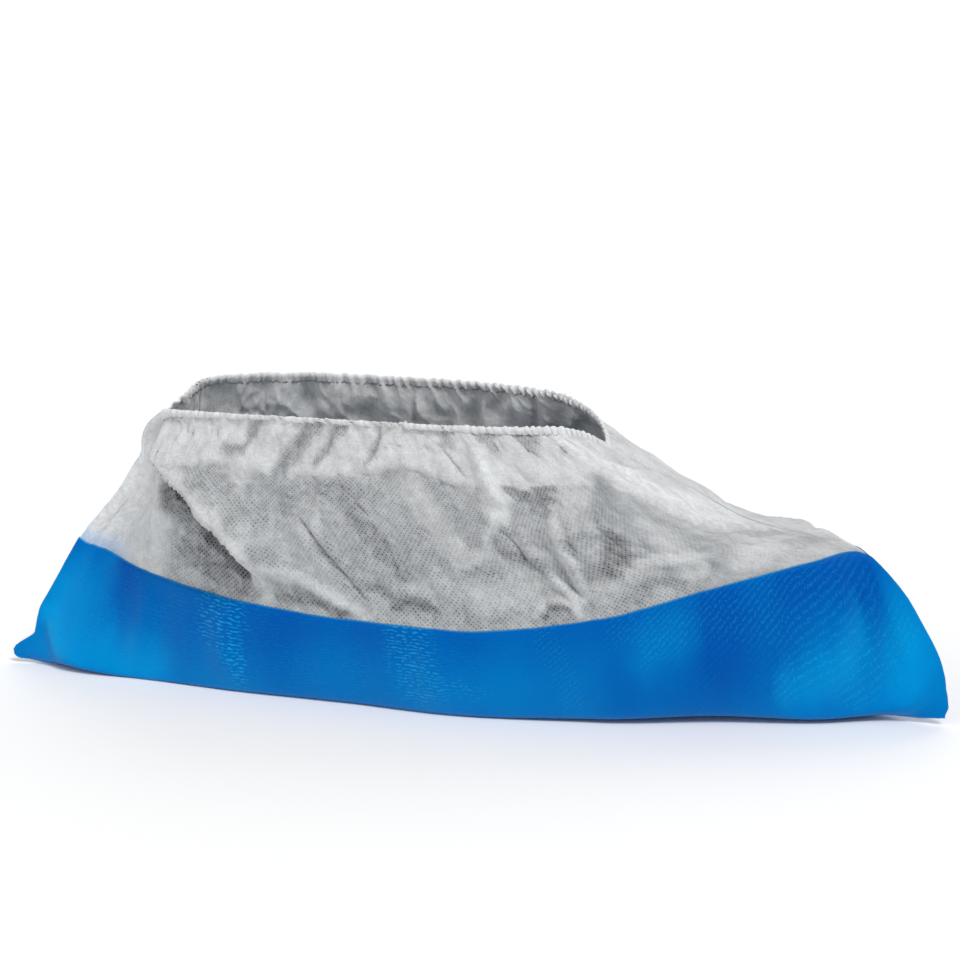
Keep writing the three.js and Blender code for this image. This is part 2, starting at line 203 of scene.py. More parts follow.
# One row for each fold: path, as places (at, up) | height, below 0 for a hollow | its widths left and
# right of the way along the path | crisp, how sharp its crest is | ends, the share of its length over
# which it dies out at each end | lean, how far its crest is pushed to the right. The last three may be
# left out.
NEAR_FOLDS = [
    # Heel: the cloth of the side hangs over the cloth drawn back to the weld.
    ([(-172, 160), (-160, 159), (-147, 157), (-135, 150), (-115, 138), (-107, 127), (-95, 119),
      (-89, 106), (-87, 92)], 6.4, 26, 2.6, 0.3, 0.2, 3.2),
    ([(-156, 150), (-140, 143), (-124, 132), (-111, 119), (-101, 106)], -4.6, 8, 14, 0, 0.25),
    ([(-102, 124), (-95, 112), (-92, 101), (-91, 91)], 2.0, 7, 2.4, 0.5, 0.15),
    ([(-146, 141), (-137, 136), (-131, 130), (-128, 119)], 1.6, 3, 3, 0.5),
    ([(-129, 126), (-121, 123), (-115, 122)], 1.2, 2.5, 2.5, 0.5),
    ([(-162, 130), (-152, 119), (-146, 104)], 1.2, 6, 6, 0.3),
    ([(-150, 134), (-144, 122), (-141, 110)], 1.0, 4, 4, 0.4),
    ([(-138, 118), (-132, 108), (-130, 98)], 0.9, 3, 3, 0.5),
    ([(-149, 98), (-142, 97), (-135, 93)], 0.8, 2, 2, 0.5),
    # Under the hem, from the heel end of the mouth to its front.
    ([(-77, 182), (-83, 171), (-90, 163), (-98, 165)], -1.8, 4.5, 4.5),
    ([(-60, 184), (-72, 168), (-84, 154), (-96, 147)], 2.4, 8, 7, 0.2),
    ([(-43, 184), (-54, 168), (-66, 154), (-71, 142)], -2.4, 6, 6),
    ([(-36, 183), (-48, 168), (-56, 153)], 2.2, 5, 4, 0.3),
    ([(-25, 183), (-34, 172), (-45, 159)], -2.0, 4, 4),
    ([(-14, 183), (-26, 168), (-40, 153), (-46, 140), (-51, 129)], 2.0, 6, 5, 0.3),
    ([(-2, 182), (-9, 170), (-18, 159)], -1.7, 3, 3.5),
    ([(8, 183), (2, 174), (-8, 160)], 1.5, 6, 5),
    ([(-9, 166), (-2, 170), (8, 171)], -1.1, 2, 2, 0.5),
    ([(10, 168), (16, 169), (25, 168)], -0.8, 2, 2, 0.5),
    ([(36, 184), (34, 176)], -1.6, 6, 6, 0, 0.4),
    ([(27, 174), (31, 166), (36, 157)], -1.2, 2.2, 2.2, 0.5),
    ([(57, 186), (52, 168), (50, 154), (46, 139)], 2.8, 10, 10, 0, 0.2),
    ([(64, 184), (62, 173)], -1.5, 7, 7, 0, 0.4),
    ([(84, 184), (78, 170), (74, 156)], 1.3, 9, 9),
    ([(96, 184), (92, 173)], -1.8, 8, 8, 0, 0.4),
    ([(118, 180), (112, 171)], -1.2, 3, 3),
    # Upper edge of the part drawn tight.
    ([(-140, 154), (-120, 155), (-100, 156)], -1.0, 2.5, 9),
    ([(-62, 151), (-52, 152), (-42, 151)], -1.2, 2, 8),
    ([(-32, 153), (-12, 156), (0, 160), (12, 158), (22, 153), (38, 151)], -1.6, 2.5, 12, 0, 0.15),
    ([(57, 149), (69, 143), (81, 150)], -1.4, 6, 7, 0, 0.2),
    # Side.
    ([(-60, 131), (-53, 118), (-46, 106), (-39, 97)], -2.2, 2, 2, 0.7, 0.15),
    ([(-56, 131), (-49, 118), (-42, 106)], 1.2, 3.5, 3, 0.3),
    ([(-64, 128), (-57, 114), (-50, 102)], 1.2, 3, 3.5, 0.3),
    ([(-37, 151), (-30, 142), (-22, 132)], -1.3, 1.8, 1.8, 0.7, 0.2),
    ([(-28, 94), (-18, 97), (-7, 95)], -1.6, 3, 5),
    ([(-39, 103), (-31, 101), (-24, 98)], -1.2, 3, 3),
    ([(-37, 97), (-24, 101), (-12, 100), (-4, 103)], 1.3, 3, 2.5, 0.4),
    ([(-96, 106), (-82, 105), (-68, 101), (-54, 94), (-42, 89)], 2.0, 7, 2.5, 0.4, 0.2),
    ([(-10, 122), (-4, 108), (0, 96)], 1.5, 7, 7),
    ([(48, 142), (41, 134), (33, 126), (24, 117), (12, 112)], 2.0, 4, 3, 0.5),
    ([(40, 129), (30, 120), (18, 112)], -1.2, 3, 4),
    # Side, under the front of the mouth.
    ([(81, 152), (74, 138), (67, 124), (61, 110), (56, 97)], 2.4, 4, 4.5, 0.4, 0.15),
    ([(36, 131), (42, 128), (44, 122), (43, 115), (38, 111)], -1.4, 2, 2, 0.5),
    ([(54, 137), (50, 126), (47, 112), (50, 103), (53, 93)], 1.6, 4, 3, 0.4),
    ([(40, 112), (47, 106), (52, 98), (54, 91)], 1.3, 2.4, 2.4, 0.6),
    ([(70, 124), (67, 116)], -1.3, 3, 3),
    ([(94, 131), (88, 118), (80, 111), (72, 106)], -3.0, 8, 7),
    ([(124, 159), (110, 146), (99, 135), (91, 124)], -1.8, 8, 8),
    ([(104, 150), (92, 138), (84, 127), (82, 120)], 1.8, 5, 5),
    ([(128, 150), (116, 134), (106, 118), (98, 108)], 1.8, 7, 7),
    ([(34, 90), (38, 96), (44, 98), (50, 95), (53, 90)], 1.5, 2.6, 4, 0.5, 0.15),
    ([(70, 94), (80, 102), (92, 106), (104, 105), (112, 98)], 1.6, 4, 6, 0.3),
    ([(56, 90), (64, 98), (74, 103)], 1.4, 3, 3, 0.4),
    # Toe.
    ([(118, 172), (126, 158), (146, 140), (164, 128), (196, 123)], 1.8, 7, 3, 0.3, 0.15),
    ([(144, 166), (160, 170), (184, 173)], -1.8, 5, 4),
    ([(130, 166), (150, 164), (180, 165)], 1.2, 4, 4),
    ([(118, 93), (121, 104), (130, 114), (150, 119), (180, 120)], 1.8, 5, 4, 0.35),
    ([(112, 92), (114, 104), (122, 116)], -1.4, 4, 4),
    ([(160, 142), (176, 144), (192, 142)], -1.2, 4, 4),
    ([(182, 116), (190, 117), (197, 119)], -1.5, 4, 4),
    ([(132, 106), (146, 111), (168, 112)], -0.9, 3, 3),
    ([(140, 98), (156, 103), (176, 101)], 1.3, 5, 4),
    ([(136, 150), (150, 146), (170, 150)], 1.3, 5, 5),
    # Film, near side.
    ([(186, 78), (180, 68), (172, 56)], 1.3, 5, 5, 0.4),
    ([(196, 63), (189, 60), (183, 56)], -1.5, 2.2, 2.2, 0.6),
    ([(170, 80), (160, 66), (148, 56)], 1.0, 8, 8),
    ([(120, 86), (112, 68), (108, 54)], 0.9, 10, 10),
    ([(60, 86), (56, 68), (54, 54)], 0.9, 12, 11),
    ([(-6, 86), (-10, 68), (-14, 54)], 1.0, 11, 12),
    ([(-104, 86), (-106, 68), (-102, 54)], 1.3, 9, 12),
    ([(-140, 84), (-146, 66), (-156, 54)], 1.0, 9, 9),
]
FAR_FOLDS = [
    ([(-160, 152), (-138, 136), (-116, 116), (-102, 96)], 4.4, 22, 4, 0.3, 0.2, 2.0),
    ([(-154, 132), (-134, 114), (-122, 98)], -3.4, 12, 14),
    ([(-144, 132), (-134, 112), (-130, 96)], 1.1, 3, 4, 0.5),
    ([(-78, 183), (-70, 158), (-56, 136)], 2.0, 8, 7),
    ([(-62, 182), (-54, 160)], -1.7, 5, 5, 0, 0.4),
    ([(-48, 176), (-34, 148), (-20, 116)], 2.6, 9, 9),
    ([(-84, 128), (-62, 108), (-48, 93)], 1.8, 6, 6, 0.4),
    ([(-12, 182), (-4, 162)], -1.6, 5, 5, 0, 0.4),
    ([(26, 178), (16, 152), (2, 122)], 2.4, 9, 8),
    ([(8, 118), (22, 102), (38, 91)], 1.7, 5, 5, 0.4),
    ([(48, 166), (60, 146), (62, 122)], 1.8, 8, 8),
    ([(70, 168), (84, 142), (92, 116)], 2.6, 9, 9),
    ([(72, 128), (66, 110), (70, 93)], 1.6, 4, 4, 0.4),
    ([(112, 154), (112, 134), (106, 110)], -1.8, 11, 11),
    ([(40, 96), (70, 101), (106, 101), (124, 106)], 2.0, 7, 5, 0.2),
    ([(118, 166), (139, 160), (158, 158)], -1.8, 16, 16),
    ([(136, 138), (156, 139), (178, 141)], 1.6, 14, 14),
    ([(114, 111), (138, 110), (160, 109)], -2.0, 14, 14),
    ([(172, 99), (188, 99), (197, 97)], 1.5, 8, 8),
    ([(130, 112), (150, 102), (184, 104)], 1.5, 6, 5, 0.3),
    ([(184, 78), (176, 66), (168, 56)], 1.5, 5, 6, 0.3),
    ([(100, 86), (98, 68), (94, 54)], 1.2, 11, 11),
    ([(24, 86), (26, 68), (24, 54)], 1.1, 12, 12),
    ([(-60, 86), (-62, 68), (-64, 54)], 1.2, 11, 12),
    ([(-136, 84), (-142, 66), (-150, 54)], 1.2, 9, 9),
]
FOLDS = {-1: NEAR_FOLDS, 1: FAR_FOLDS}


def rounded_path(path, pieces=14):
    corners = np.array(path, float)
    steps = np.linalg.norm(np.diff(corners, axis=0), axis=1)
    places = np.concatenate([[0], np.cumsum(steps)])
    return smooth_curve(places, corners.T, np.linspace(0, places[-1], pieces + 1)).T


def along_path(path, at, up):
    """For each place, its signed distance to the path (positive to its left), the share of the way
    along, and the path's direction there."""
    steps = np.diff(path, axis=0)
    lengths = np.linalg.norm(steps, axis=1)
    reached = np.concatenate([[0], np.cumsum(lengths)])
    nearest = np.full(at.shape, np.inf)
    signed = np.zeros(at.shape)
    share = np.zeros(at.shape)
    heading = np.zeros(at.shape + (2,))
    for start, step, length, done in zip(path, steps, lengths, reached):
        t = np.clip(((at - start[0]) * step[0] + (up - start[1]) * step[1]) / length ** 2, 0, 1)
        off_at = at - start[0] - t * step[0]
        off_up = up - start[1] - t * step[1]
        distance = np.hypot(off_at, off_up)
        closer = distance < nearest
        nearest = np.where(closer, distance, nearest)
        turn = np.sign(step[0] * off_up - step[1] * off_at)
        signed = np.where(closer, distance * turn, signed)
        share = np.where(closer, (done + t * length) / reached[-1], share)
        heading[closer] = step / length
    return signed, share, heading


def fold_profile(at, up, path, height, left, right, crisp=0.0, ends=0.3, lean=0.0):
    """Height of the fold at each place, and how far it pushes the cloth along (at, up)."""
    signed, share, heading = along_path(rounded_path(path), at, up)
    off = np.minimum(np.abs(signed) / np.where(signed > 0, left, right), 1)
    shape = (1 - crisp) * np.cos(off * math.pi / 2) ** 2 + crisp * (1 - off) ** 2
    ending = np.minimum(np.minimum(share, 1 - share) / ends, 1)
    shape = shape * ending * ending * (3 - 2 * ending)
    to_right = np.stack([heading[..., 1], -heading[..., 0]], axis=-1)
    return FOLD_STRENGTH * height * shape, lean * shape[..., None] * to_right


CREASES_PER_SIDE = 230
CREASE_CRISP = 0.6
CREASE_ENDS = 0.45


def random_creases(side):
    """Small crinkles all over the cloth, most of them running down from the hem."""
    chance = np.random.RandomState(40 + side)
    creases = []
    for _ in range(CREASES_PER_SIDE):
        at = chance.uniform(-190, 190)
        up = chance.uniform(92, 180)
        angle = math.radians(chance.normal(84, 38))
        length = chance.uniform(7, 24)
        bend = chance.uniform(-0.25, 0.25) * length
        step = np.array([math.cos(angle), -math.sin(angle)]) * length / 2
        middle = np.array([at + bend * math.sin(angle), up + bend * math.cos(angle)])
        path = [tuple(np.array([at, up]) - step), tuple(middle), tuple(np.array([at, up]) + step)]
        height = chance.uniform(0.2, 0.8) * chance.choice([-1, 1])
        width = chance.uniform(1.7, 4.2)
        right = width * chance.uniform(0.6, 1.4)
        creases.append((path, height, width, right, CREASE_CRISP, CREASE_ENDS))
    return creases


HEM_CRINKLES = 80
CRINKLE_CRISP = 0.35


def hem_crinkles(side):
    """Short sharp creases that run down from the hem."""
    chance = np.random.RandomState(50 + side)
    crinkles = []
    for _ in range(HEM_CRINKLES):
        at = chance.uniform(-145, 120)
        top = chance.uniform(174, 183)
        length = chance.uniform(6, 18)
        lean = chance.normal(-0.3, 0.35) * length
        path = [(at, top), (at + 0.3 * lean, top - length / 2), (at + lean, top - length)]
        height = -chance.uniform(0.3, 0.8)
        crinkles.append((path, height, 2.6, 3.4, CRINKLE_CRISP, CREASE_ENDS))
    return crinkles


def noise(x, y, seed):
    """Smooth random heights, about -1 to 1, one swell to each unit."""
    chance = np.random.RandomState(seed)
    size = 128
    angle = chance.uniform(0, 2 * math.pi, (size, size))
    ix = np.floor(x).astype(int)
    iy = np.floor(y).astype(int)
    fx = x - ix
    fy = y - iy
    sx = fx * fx * fx * (fx * (fx * 6 - 15) + 10)
    sy = fy * fy * fy * (fy * (fy * 6 - 15) + 10)

    def corner(dx, dy):
        a = angle[(ix + dx) % size, (iy + dy) % size]
        return np.cos(a) * (fx - dx) + np.sin(a) * (fy - dy)

    low = corner(0, 0) * (1 - sx) + corner(1, 0) * sx
    high = corner(0, 1) * (1 - sx) + corner(1, 1) * sx
    return 1.5 * (low * (1 - sy) + high * sy)


def to_seams(at, up):
    """Falls from 1 to 0 towards the welds, the sole's rim and the hem."""
    to_weld = FLAT_HALF_LENGTH - WELD_WIDTH - np.abs(at)
    to_edge = np.minimum(np.minimum(to_weld, up - SOLE_EDGE_UP), FLAT_DEPTH - up)
    return np.clip(to_edge / FOLD_FADE, 0, 1)


HEM_GATHER_DEPTH = 0.75
HEM_GATHER_PITCH = 6.2
PLEAT_DEPTH = 1.9
PLEAT_REACH = 20


def gathers(at, up, side):
    """Tiny pleats that the elastic draws up under the hem, and longer ones between them."""
    below = FLAT_DEPTH - up
    wander = 4 * noise(at / 23, up / 60, 61 + side)
    to_weld = FLAT_HALF_LENGTH - WELD_WIDTH - np.abs(at)
    fade = eased(to_weld, 0, 8) * (1 - 0.5 * eased(at, 110, 160))
    fine = np.cos((at + wander) * 2 * math.pi / HEM_GATHER_PITCH)
    fine = fine * np.exp(-below / 4.5)
    coarse = noise((at + wander) / 7.5, up / 48, 71 + side)
    coarse = coarse * np.exp(-below / PLEAT_REACH) * eased(below, -1, 6)
    return fade * (HEM_GATHER_DEPTH * fine + PLEAT_DEPTH * coarse)


# How much of their small creases and swells the toe, on each side, and the heel lose.
TOE_CALM = {-1: 0.65, 1: 0.85}
HEEL_CALM = 0.8


def folded_height(at, up, side, fine=True):
    """How far the folds lift the cloth, and how far they push it along (at, up)."""
    height = np.zeros(at.shape)
    push = np.zeros(at.shape + (2,))
    for row in FOLDS[side]:
        lift, shift = fold_profile(at, up, *row)
        height += lift
        push += shift
    calm = (1 - TOE_CALM[side] * eased(at, 90, 130)) * (1 - HEEL_CALM * eased(-at, 160, 182))
    for row in random_creases(side) + hem_crinkles(side) if fine else []:
        height += calm * fold_profile(at, up, *row)[0]
    above_film = eased(up, FILM_BAND - 6, FILM_BAND + 8)
    cloth = calm * above_film
    warp = 6 * noise(at / 40, up / 40, 21 + side)
    swell = 1.0 * noise((at + warp) / 19, (up - warp) / 24, 31 + side)
    swell += 0.5 * noise((at - warp) / 8, up / 11, 41 + side)
    film_swell = 0.5 * noise(at / 17, up / 55, 51 + side)
    fade = to_seams(at, up)
    height = fade * (height + cloth * swell + (1 - above_film) * film_swell)
    if fine:
        height += gathers(at, up, side)
    return height, fade[..., None] * push


# ---------------------------------------------------------------- surfaces

COLUMNS = 300
SOLE_LEVELS = [0, 0.6, 1.3, 2.5, 3.7, 5, 6.4, 8, 11.5, 15, 19, 23, 27, 31, 37, 41, 44, 46, 47.3]
WALL_LEVELS = [48.6, 50, 52, 54.5, 57.5, 61, 64.5, 68, 71.5, 75, 78.5, 81.5, 84.5]
CLOTH_ROWS = 56
CLOTH_LEVELS = np.linspace(FILM_BAND, FLAT_DEPTH, CLOTH_ROWS + 1).tolist()
LEVELS = np.array(SOLE_LEVELS + WALL_LEVELS + CLOTH_LEVELS, float)
FILM_LEVELS = len(SOLE_LEVELS) + len(WALL_LEVELS) + 1
FILM_ROWS = np.arange(FILM_LEVELS)
# The bag is hidden under the film, so it keeps only some of the sole's levels.
UNDER_SOLE = [LEVELS.tolist().index(up) for up in (0, 2.5, 5, 8, 15, 23, 31, 41, 46)]
BAG_ROWS = np.concatenate([UNDER_SOLE, np.arange(len(SOLE_LEVELS), len(LEVELS))])


def rib_places():
    """Where the ribs are, closer together where the folds are sharpest."""
    places = np.linspace(-1, 1, 2001) * (FLAT_HALF_LENGTH - WELD_WIDTH)
    crowding = 1 + 0.6 * np.exp(-((places + 128) / 34) ** 2) + 0.25 * np.exp(-((places - 62) / 36) ** 2)
    reached = np.cumsum(crowding)
    return np.interp(np.linspace(reached[0], reached[-1], COLUMNS + 1), reached, places)


RIB_ATS = rib_places()


def grid_faces(first, ribs, steps, flip):
    i, k = np.meshgrid(np.arange(ribs - 1), np.arange(steps - 1), indexing="ij")
    a = first + i * steps + k
    quads = np.stack([a, a + 1, a + steps + 1, a + steps], axis=-1).reshape(-1, 4)
    if flip:
        quads = quads[:, ::-1]
    return quads.tolist()


def unit(vectors):
    return vectors / np.maximum(np.linalg.norm(vectors, axis=-1, keepdims=True), 1e-9)


def outward_directions(grid, side):
    """Outward directions of one side; at the welds they turn square to the welded edge."""
    along = np.empty_like(grid)
    along[1:-1] = grid[2:] - grid[:-2]
    along[0] = grid[1] - grid[0]
    along[-1] = grid[-1] - grid[-2]
    upward = np.empty_like(grid)
    upward[:, 1:-1] = grid[:, 2:] - grid[:, :-2]
    upward[:, 0] = grid[:, 1] - grid[:, 0]
    upward[:, -1] = grid[:, -1] - grid[:, -2]
    direction = unit(np.cross(along, upward) * -side)
    direction[0, :, 1] += side
    direction[-1, :, 1] += side
    direction = unit(direction)
    direction[:, 0] = (0, 0, -1)
    return direction


def folded_side(side, ats, levels, fine=True):
    """One side of the hollow with its folds, in mm."""
    at, up = np.meshgrid(ats, levels, indexing="ij")
    smooth = smooth_side(ats, levels, side)
    height, push = folded_height(at, up, side, fine)
    directions = outward_directions(smooth, side)
    along = unit(np.gradient(smooth, axis=0))
    upward = unit(np.gradient(smooth, axis=1))
    moved = smooth + directions * height[..., None]
    moved += along * push[..., :1] + upward * push[..., 1:]
    return moved


# ---------------------------------------------------------------- settling the cloth

SIM_SCALE = 0.01  # from mm to the units that it settles in
SIM_ATS = np.linspace(RIB_ATS[0], RIB_ATS[-1], 202)
SIM_LEVELS = np.linspace(FILM_BAND - 3, FLAT_DEPTH, 49)
SIM_FRAMES = 30
SPARE_LOW = 0.03
SPARE_HIGH = 0.16
SLIGHT_GRAVITY = 0.15
LARGEST_SHIFT = 4
TOE_UNSETTLED = 0.75  # how much of its shifts the toe loses
CLOTH_SETTINGS = {
    "quality": 6, "mass": 0.2, "tension_stiffness": 40, "compression_stiffness": 40,
    "shear_stiffness": 20, "bending_stiffness": 1.2, "tension_damping": 15, "compression_damping": 15,
    "shear_damping": 15, "vertex_group_mass": "held", "shrink_min": -SPARE_HIGH,
    "shrink_max": -SPARE_LOW, "vertex_group_shrink": "spare",
}


def sim_object(name, grids):
    vertices = np.concatenate([grid.reshape(-1, 3) for grid in grids]) * SIM_SCALE
    faces = []
    first = 0
    for grid in grids:
        faces += grid_faces(first, grid.shape[0], grid.shape[1], False)
        first += grid.shape[0] * grid.shape[1]
    mesh = bpy.data.meshes.new(name)
    mesh.from_pydata(vertices.tolist(), [], faces)
    obj = bpy.data.objects.new(name, mesh)
    bpy.context.collection.objects.link(obj)
    return obj


def add_last(starts):
    """The shape inside the cloth that stops it, a little further in near the hem."""
    depth = 0.9 + 2.6 * eased(SIM_LEVELS, 150, 176)
    inner = []
    for side, start in zip(SIDES, starts):
        inner.append(start - outward_directions(start, side) * depth[None, :, None])
    last = sim_object("last", inner)
    last.modifiers.new("hit", "COLLISION")
    last.collision.thickness_outer = 0.002
    last.collision.cloth_friction = 12
    return last


def mark_held_and_spare(cloth):
    """Marks where the cloth is held, and how much of it is spare, alike on both sides."""
    at, up = np.meshgrid(SIM_ATS, SIM_LEVELS, indexing="ij")
    held = np.zeros(at.shape)
    held[:2] = held[-2:] = held[:, :2] = held[:, -1:] = 1
    spare = 0.15 + 0.75 * eased(up, FILM_BAND + 20, FLAT_DEPTH) + 0.45 * noise(at / 24, up / 28, 55)
    spare = np.clip(spare, 0, 1) * eased(at - RIB_ATS[0], 10, 110) * eased(RIB_ATS[-1] - at, 25, 120)
    for name, weights in (("held", held), ("spare", 1 - spare)):
        group = cloth.vertex_groups.new(name=name)
        for index, weight in enumerate(np.concatenate([weights, weights]).ravel()):
            group.add([index], float(weight), "REPLACE")


def let_settle(cloth):
    """Runs the cloth through its frames and gives its points on the last one."""
    modifier = cloth.modifiers.new("cloth", "CLOTH")
    for name, value in CLOTH_SETTINGS.items():
        setattr(modifier.settings, name, value)
    modifier.settings.effector_weights.gravity = SLIGHT_GRAVITY
    modifier.collision_settings.distance_min = 0.003
    modifier.collision_settings.collision_quality = 3
    modifier.point_cache.frame_end = SIM_FRAMES
    for number in range(1, SIM_FRAMES + 1):
        bpy.context.scene.frame_set(number)
    done = cloth.evaluated_get(bpy.context.evaluated_depsgraph_get()).to_mesh()
    points = np.empty(len(done.vertices) * 3)
    done.vertices.foreach_get("co", points)
    return points


def settled_offsets():
    """Where the spare cloth that the elastic gathers buckles to over the shoe's shape: for each side,
    how far each point moves, in mm. The cloth grows a little in its own surface and is held at the
    film, the welds and the mouth."""
    starts = [folded_side(side, SIM_ATS, SIM_LEVELS, fine=False) for side in SIDES]
    cloth = sim_object("settling", starts)
    last = add_last(starts)
    mark_held_and_spare(cloth)
    points = let_settle(cloth)
    moved = points.reshape(2, len(SIM_ATS), len(SIM_LEVELS), 3) / SIM_SCALE - np.stack(starts)
    for obj in (cloth, last):
        bpy.data.objects.remove(obj)
    bpy.context.scene.frame_set(1)
    size = np.linalg.norm(moved, axis=-1, keepdims=True)
    return moved / np.sqrt(1 + (size / LARGEST_SHIFT) ** 2)


def on_fine_grid(offsets):
    """The settled cloth's offsets, read smoothly at every rib and level of the cloth."""
    by_level = smooth_curve(SIM_ATS, offsets.transpose(1, 2, 0), RIB_ATS)
    by_rib = smooth_curve(SIM_LEVELS, by_level.transpose(2, 1, 0), LEVELS)
    return by_rib.transpose(0, 2, 1)


def settled_side(side, offsets):
    points = folded_side(side, RIB_ATS, LEVELS)
    if offsets is None:
        return points
    moved = on_fine_grid(offsets)
    moved[:, LEVELS < SIM_LEVELS[0]] = 0
    moved *= (1 - TOE_UNSETTLED * eased(RIB_ATS, 95, 140))[:, None, None]
    return points + moved


SETTLED = settled_offsets()
HALVES = {side: settled_side(side, offsets) for side, offsets in zip(SIDES, SETTLED)}


BAG_PRESSED = 0.3
THINNED_OVER = 9


def thinned(at, pressed=BAG_PRESSED):
    """Layers close up over the last few mm before the welds."""
    to_weld = FLAT_HALF_LENGTH - WELD_WIDTH - np.abs(at)
    return pressed + (1 - pressed) * eased(to_weld, 0, THINNED_OVER)


WELD_STEPS = [0.9, 1.8, 3.4, 3.9, 4.0]
WELD_GROOVE = (1, 2)  # the steps along the flange's middle, where it is pressed thinner
FLANGE_EDGE = 0.9
HEEL_CORNER = 5  # over how many mm the flange's corner is rounded at the heel


def weld_widths(end):
    """How wide the weld's flange is along the seam, as a share: narrower at the mouth and at the
    sole's corner, which is round at the heel, and almost gone along the top of the toe."""
    width = 1 - 0.5 * eased(LEVELS, 138, 160)
    width[-2:] *= (0.9, 0.7)
    if end < 0:
        corner = 1 - np.clip(LEVELS / HEEL_CORNER, 0, 1)
        width = width * (0.35 + 0.65 * np.sqrt(1 - corner**2))
    else:
        width = width * (0.5 + 0.5 * eased(LEVELS, 0, 12))
        width = width * (1 - 0.96 * eased(LEVELS, FILM_BAND - 18, FILM_BAND - 3))
    return width * (1 + 0.05 * noise(LEVELS / 9, LEVELS * 0 + 3, 95 + end))


def weld_strip(seam, end, side, offset, groove, wider):
    """Columns of flat double cloth outside a seam, pressed at the weld, from the seam outward."""
    run = np.gradient(seam, axis=0)
    run[:, 1] = 0
    run = unit(run)
    outward = np.stack([run[:, 2], np.zeros(len(run)), -run[:, 0]], axis=-1) * end
    outward[-1] = (end, 0, 0)
    level = 2 * (1 - eased(LEVELS, 18, 40))
    outward[:, 0] += end * level
    outward = unit(outward)
    width = weld_widths(end)
    if wider:
        # The film's flange ends a little shorter at the toe, where its top edge meets the seam.
        trim = 1 - 0.6 * eased(LEVELS, FILM_BAND - 5, FILM_BAND + 0.5) * (end > 0)
    else:
        # The bag's flange narrows at the sole, to stay inside the film's.
        trim = 1
        width = width * (0.3 + 0.7 * eased(LEVELS, 1, 12))
    strips = []
    for step, distance in enumerate(WELD_STEPS):
        reach = (distance * width + wider * (step + 1) / len(WELD_STEPS)) * trim
        points = seam + outward * reach[:, None]
        points[:, 1] += side * offset * (groove if step in WELD_GROOVE else FLANGE_EDGE)
        strips.append(points)
    return strips


def skin(offset, rows, welds=True, pressed=BAG_PRESSED, groove=0.5, wider=0.0):
    """A skin that lies offset (one for each level) outside the hollow: near side from its top down to
    the keel, then the far side up again; grid[rib, step]. pressed is its share of offset at the
    welds, groove the share of that along their middle, and wider how much further out they reach."""
    halves = []
    for side in SIDES:
        grid = HALVES[side]
        directions = outward_directions(grid, side)
        skin_side = grid + directions * (thinned(RIB_ATS, pressed)[:, None] * offset)[..., None]
        if welds:
            heel = weld_strip(grid[0], -1, side, offset * pressed, groove, wider)
            toe = weld_strip(grid[-1], 1, side, offset * pressed, groove, wider)
            for strip in heel + toe:
                strip[0, 2] -= offset[0] * pressed
            skin_side = np.stack(heel[::-1] + list(skin_side) + toe)
        halves.append(skin_side[:, rows])
    near, far = halves
    return np.concatenate([near[:, :0:-1], far], axis=1)


# ---------------------------------------------------------------- meshes

SEAM_REACH = 2e-6


def join_seams(mesh):
    """Joins the points where the two sides meet."""
    built = bmesh.new()
    built.from_mesh(mesh)
    bmesh.ops.remove_doubles(built, verts=built.verts, dist=SEAM_REACH)
    bmesh.ops.dissolve_degenerate(built, edges=built.edges, dist=SEAM_REACH)
    built.to_mesh(mesh)
    built.free()


def make_object(name, vertices, faces, material, uvs, values):
    mesh = bpy.data.meshes.new(name)
    mesh.from_pydata((vertices * MM).tolist(), [], [list(map(int, face)) for face in faces])
    mesh.update()
    corner = np.empty(len(mesh.loops), np.int32)
    mesh.loops.foreach_get("vertex_index", corner)
    for layer_name, layer in uvs.items():
        uv = mesh.uv_layers.new(name=layer_name)
        uv.data.foreach_set("uv", layer.astype(np.float32)[corner].ravel())
    for value_name, value in values.items():
        attribute = mesh.attributes.new(value_name, "FLOAT", "POINT")
        attribute.data.foreach_set("value", value.astype(np.float32).ravel())
    mesh.materials.append(material)
    join_seams(mesh)
    mesh.shade_smooth()
    obj = bpy.data.objects.new(name, mesh)
    bpy.context.collection.objects.link(obj)
    return obj


def strip_faces(outer, inner):
    return [[outer[i], outer[i + 1], inner[i + 1], inner[i]] for i in range(len(outer) - 1)]


def flat_places(rows, welds):
    """(at, signed up) of each point of a skin, in mm, for the cloth's pattern."""
    ats = RIB_ATS
    if welds:
        heel = RIB_ATS[0] - np.array(WELD_STEPS[::-1])
        toe = RIB_ATS[-1] + np.array(WELD_STEPS)
        ats = np.concatenate([heel, RIB_ATS, toe])
    ups = np.concatenate([-LEVELS[rows][:0:-1], LEVELS[rows]])
    at, up = np.meshgrid(ats, ups, indexing="ij")
    return np.stack([at, up], axis=-1)


# What the unit square spans, in mm: the flat cloth with a small margin.
BAKE_LENGTH = 2 * FLAT_HALF_LENGTH + 6
BAG_BAKE_DEPTH = 2 * FLAT_DEPTH + 6
FILM_BAKE_DEPTH = 2 * FILM_BAND + 4


def bake_places(flat, depth, low, high):
    """The same places in the unit square, between the heights low and high, one row for each."""
    u = 0.5 + flat[..., 0] / BAKE_LENGTH
    v = low + (high - low) * (0.5 + flat[..., 1] / depth)
    return np.stack([u, v], axis=-1).reshape(-1, 2)


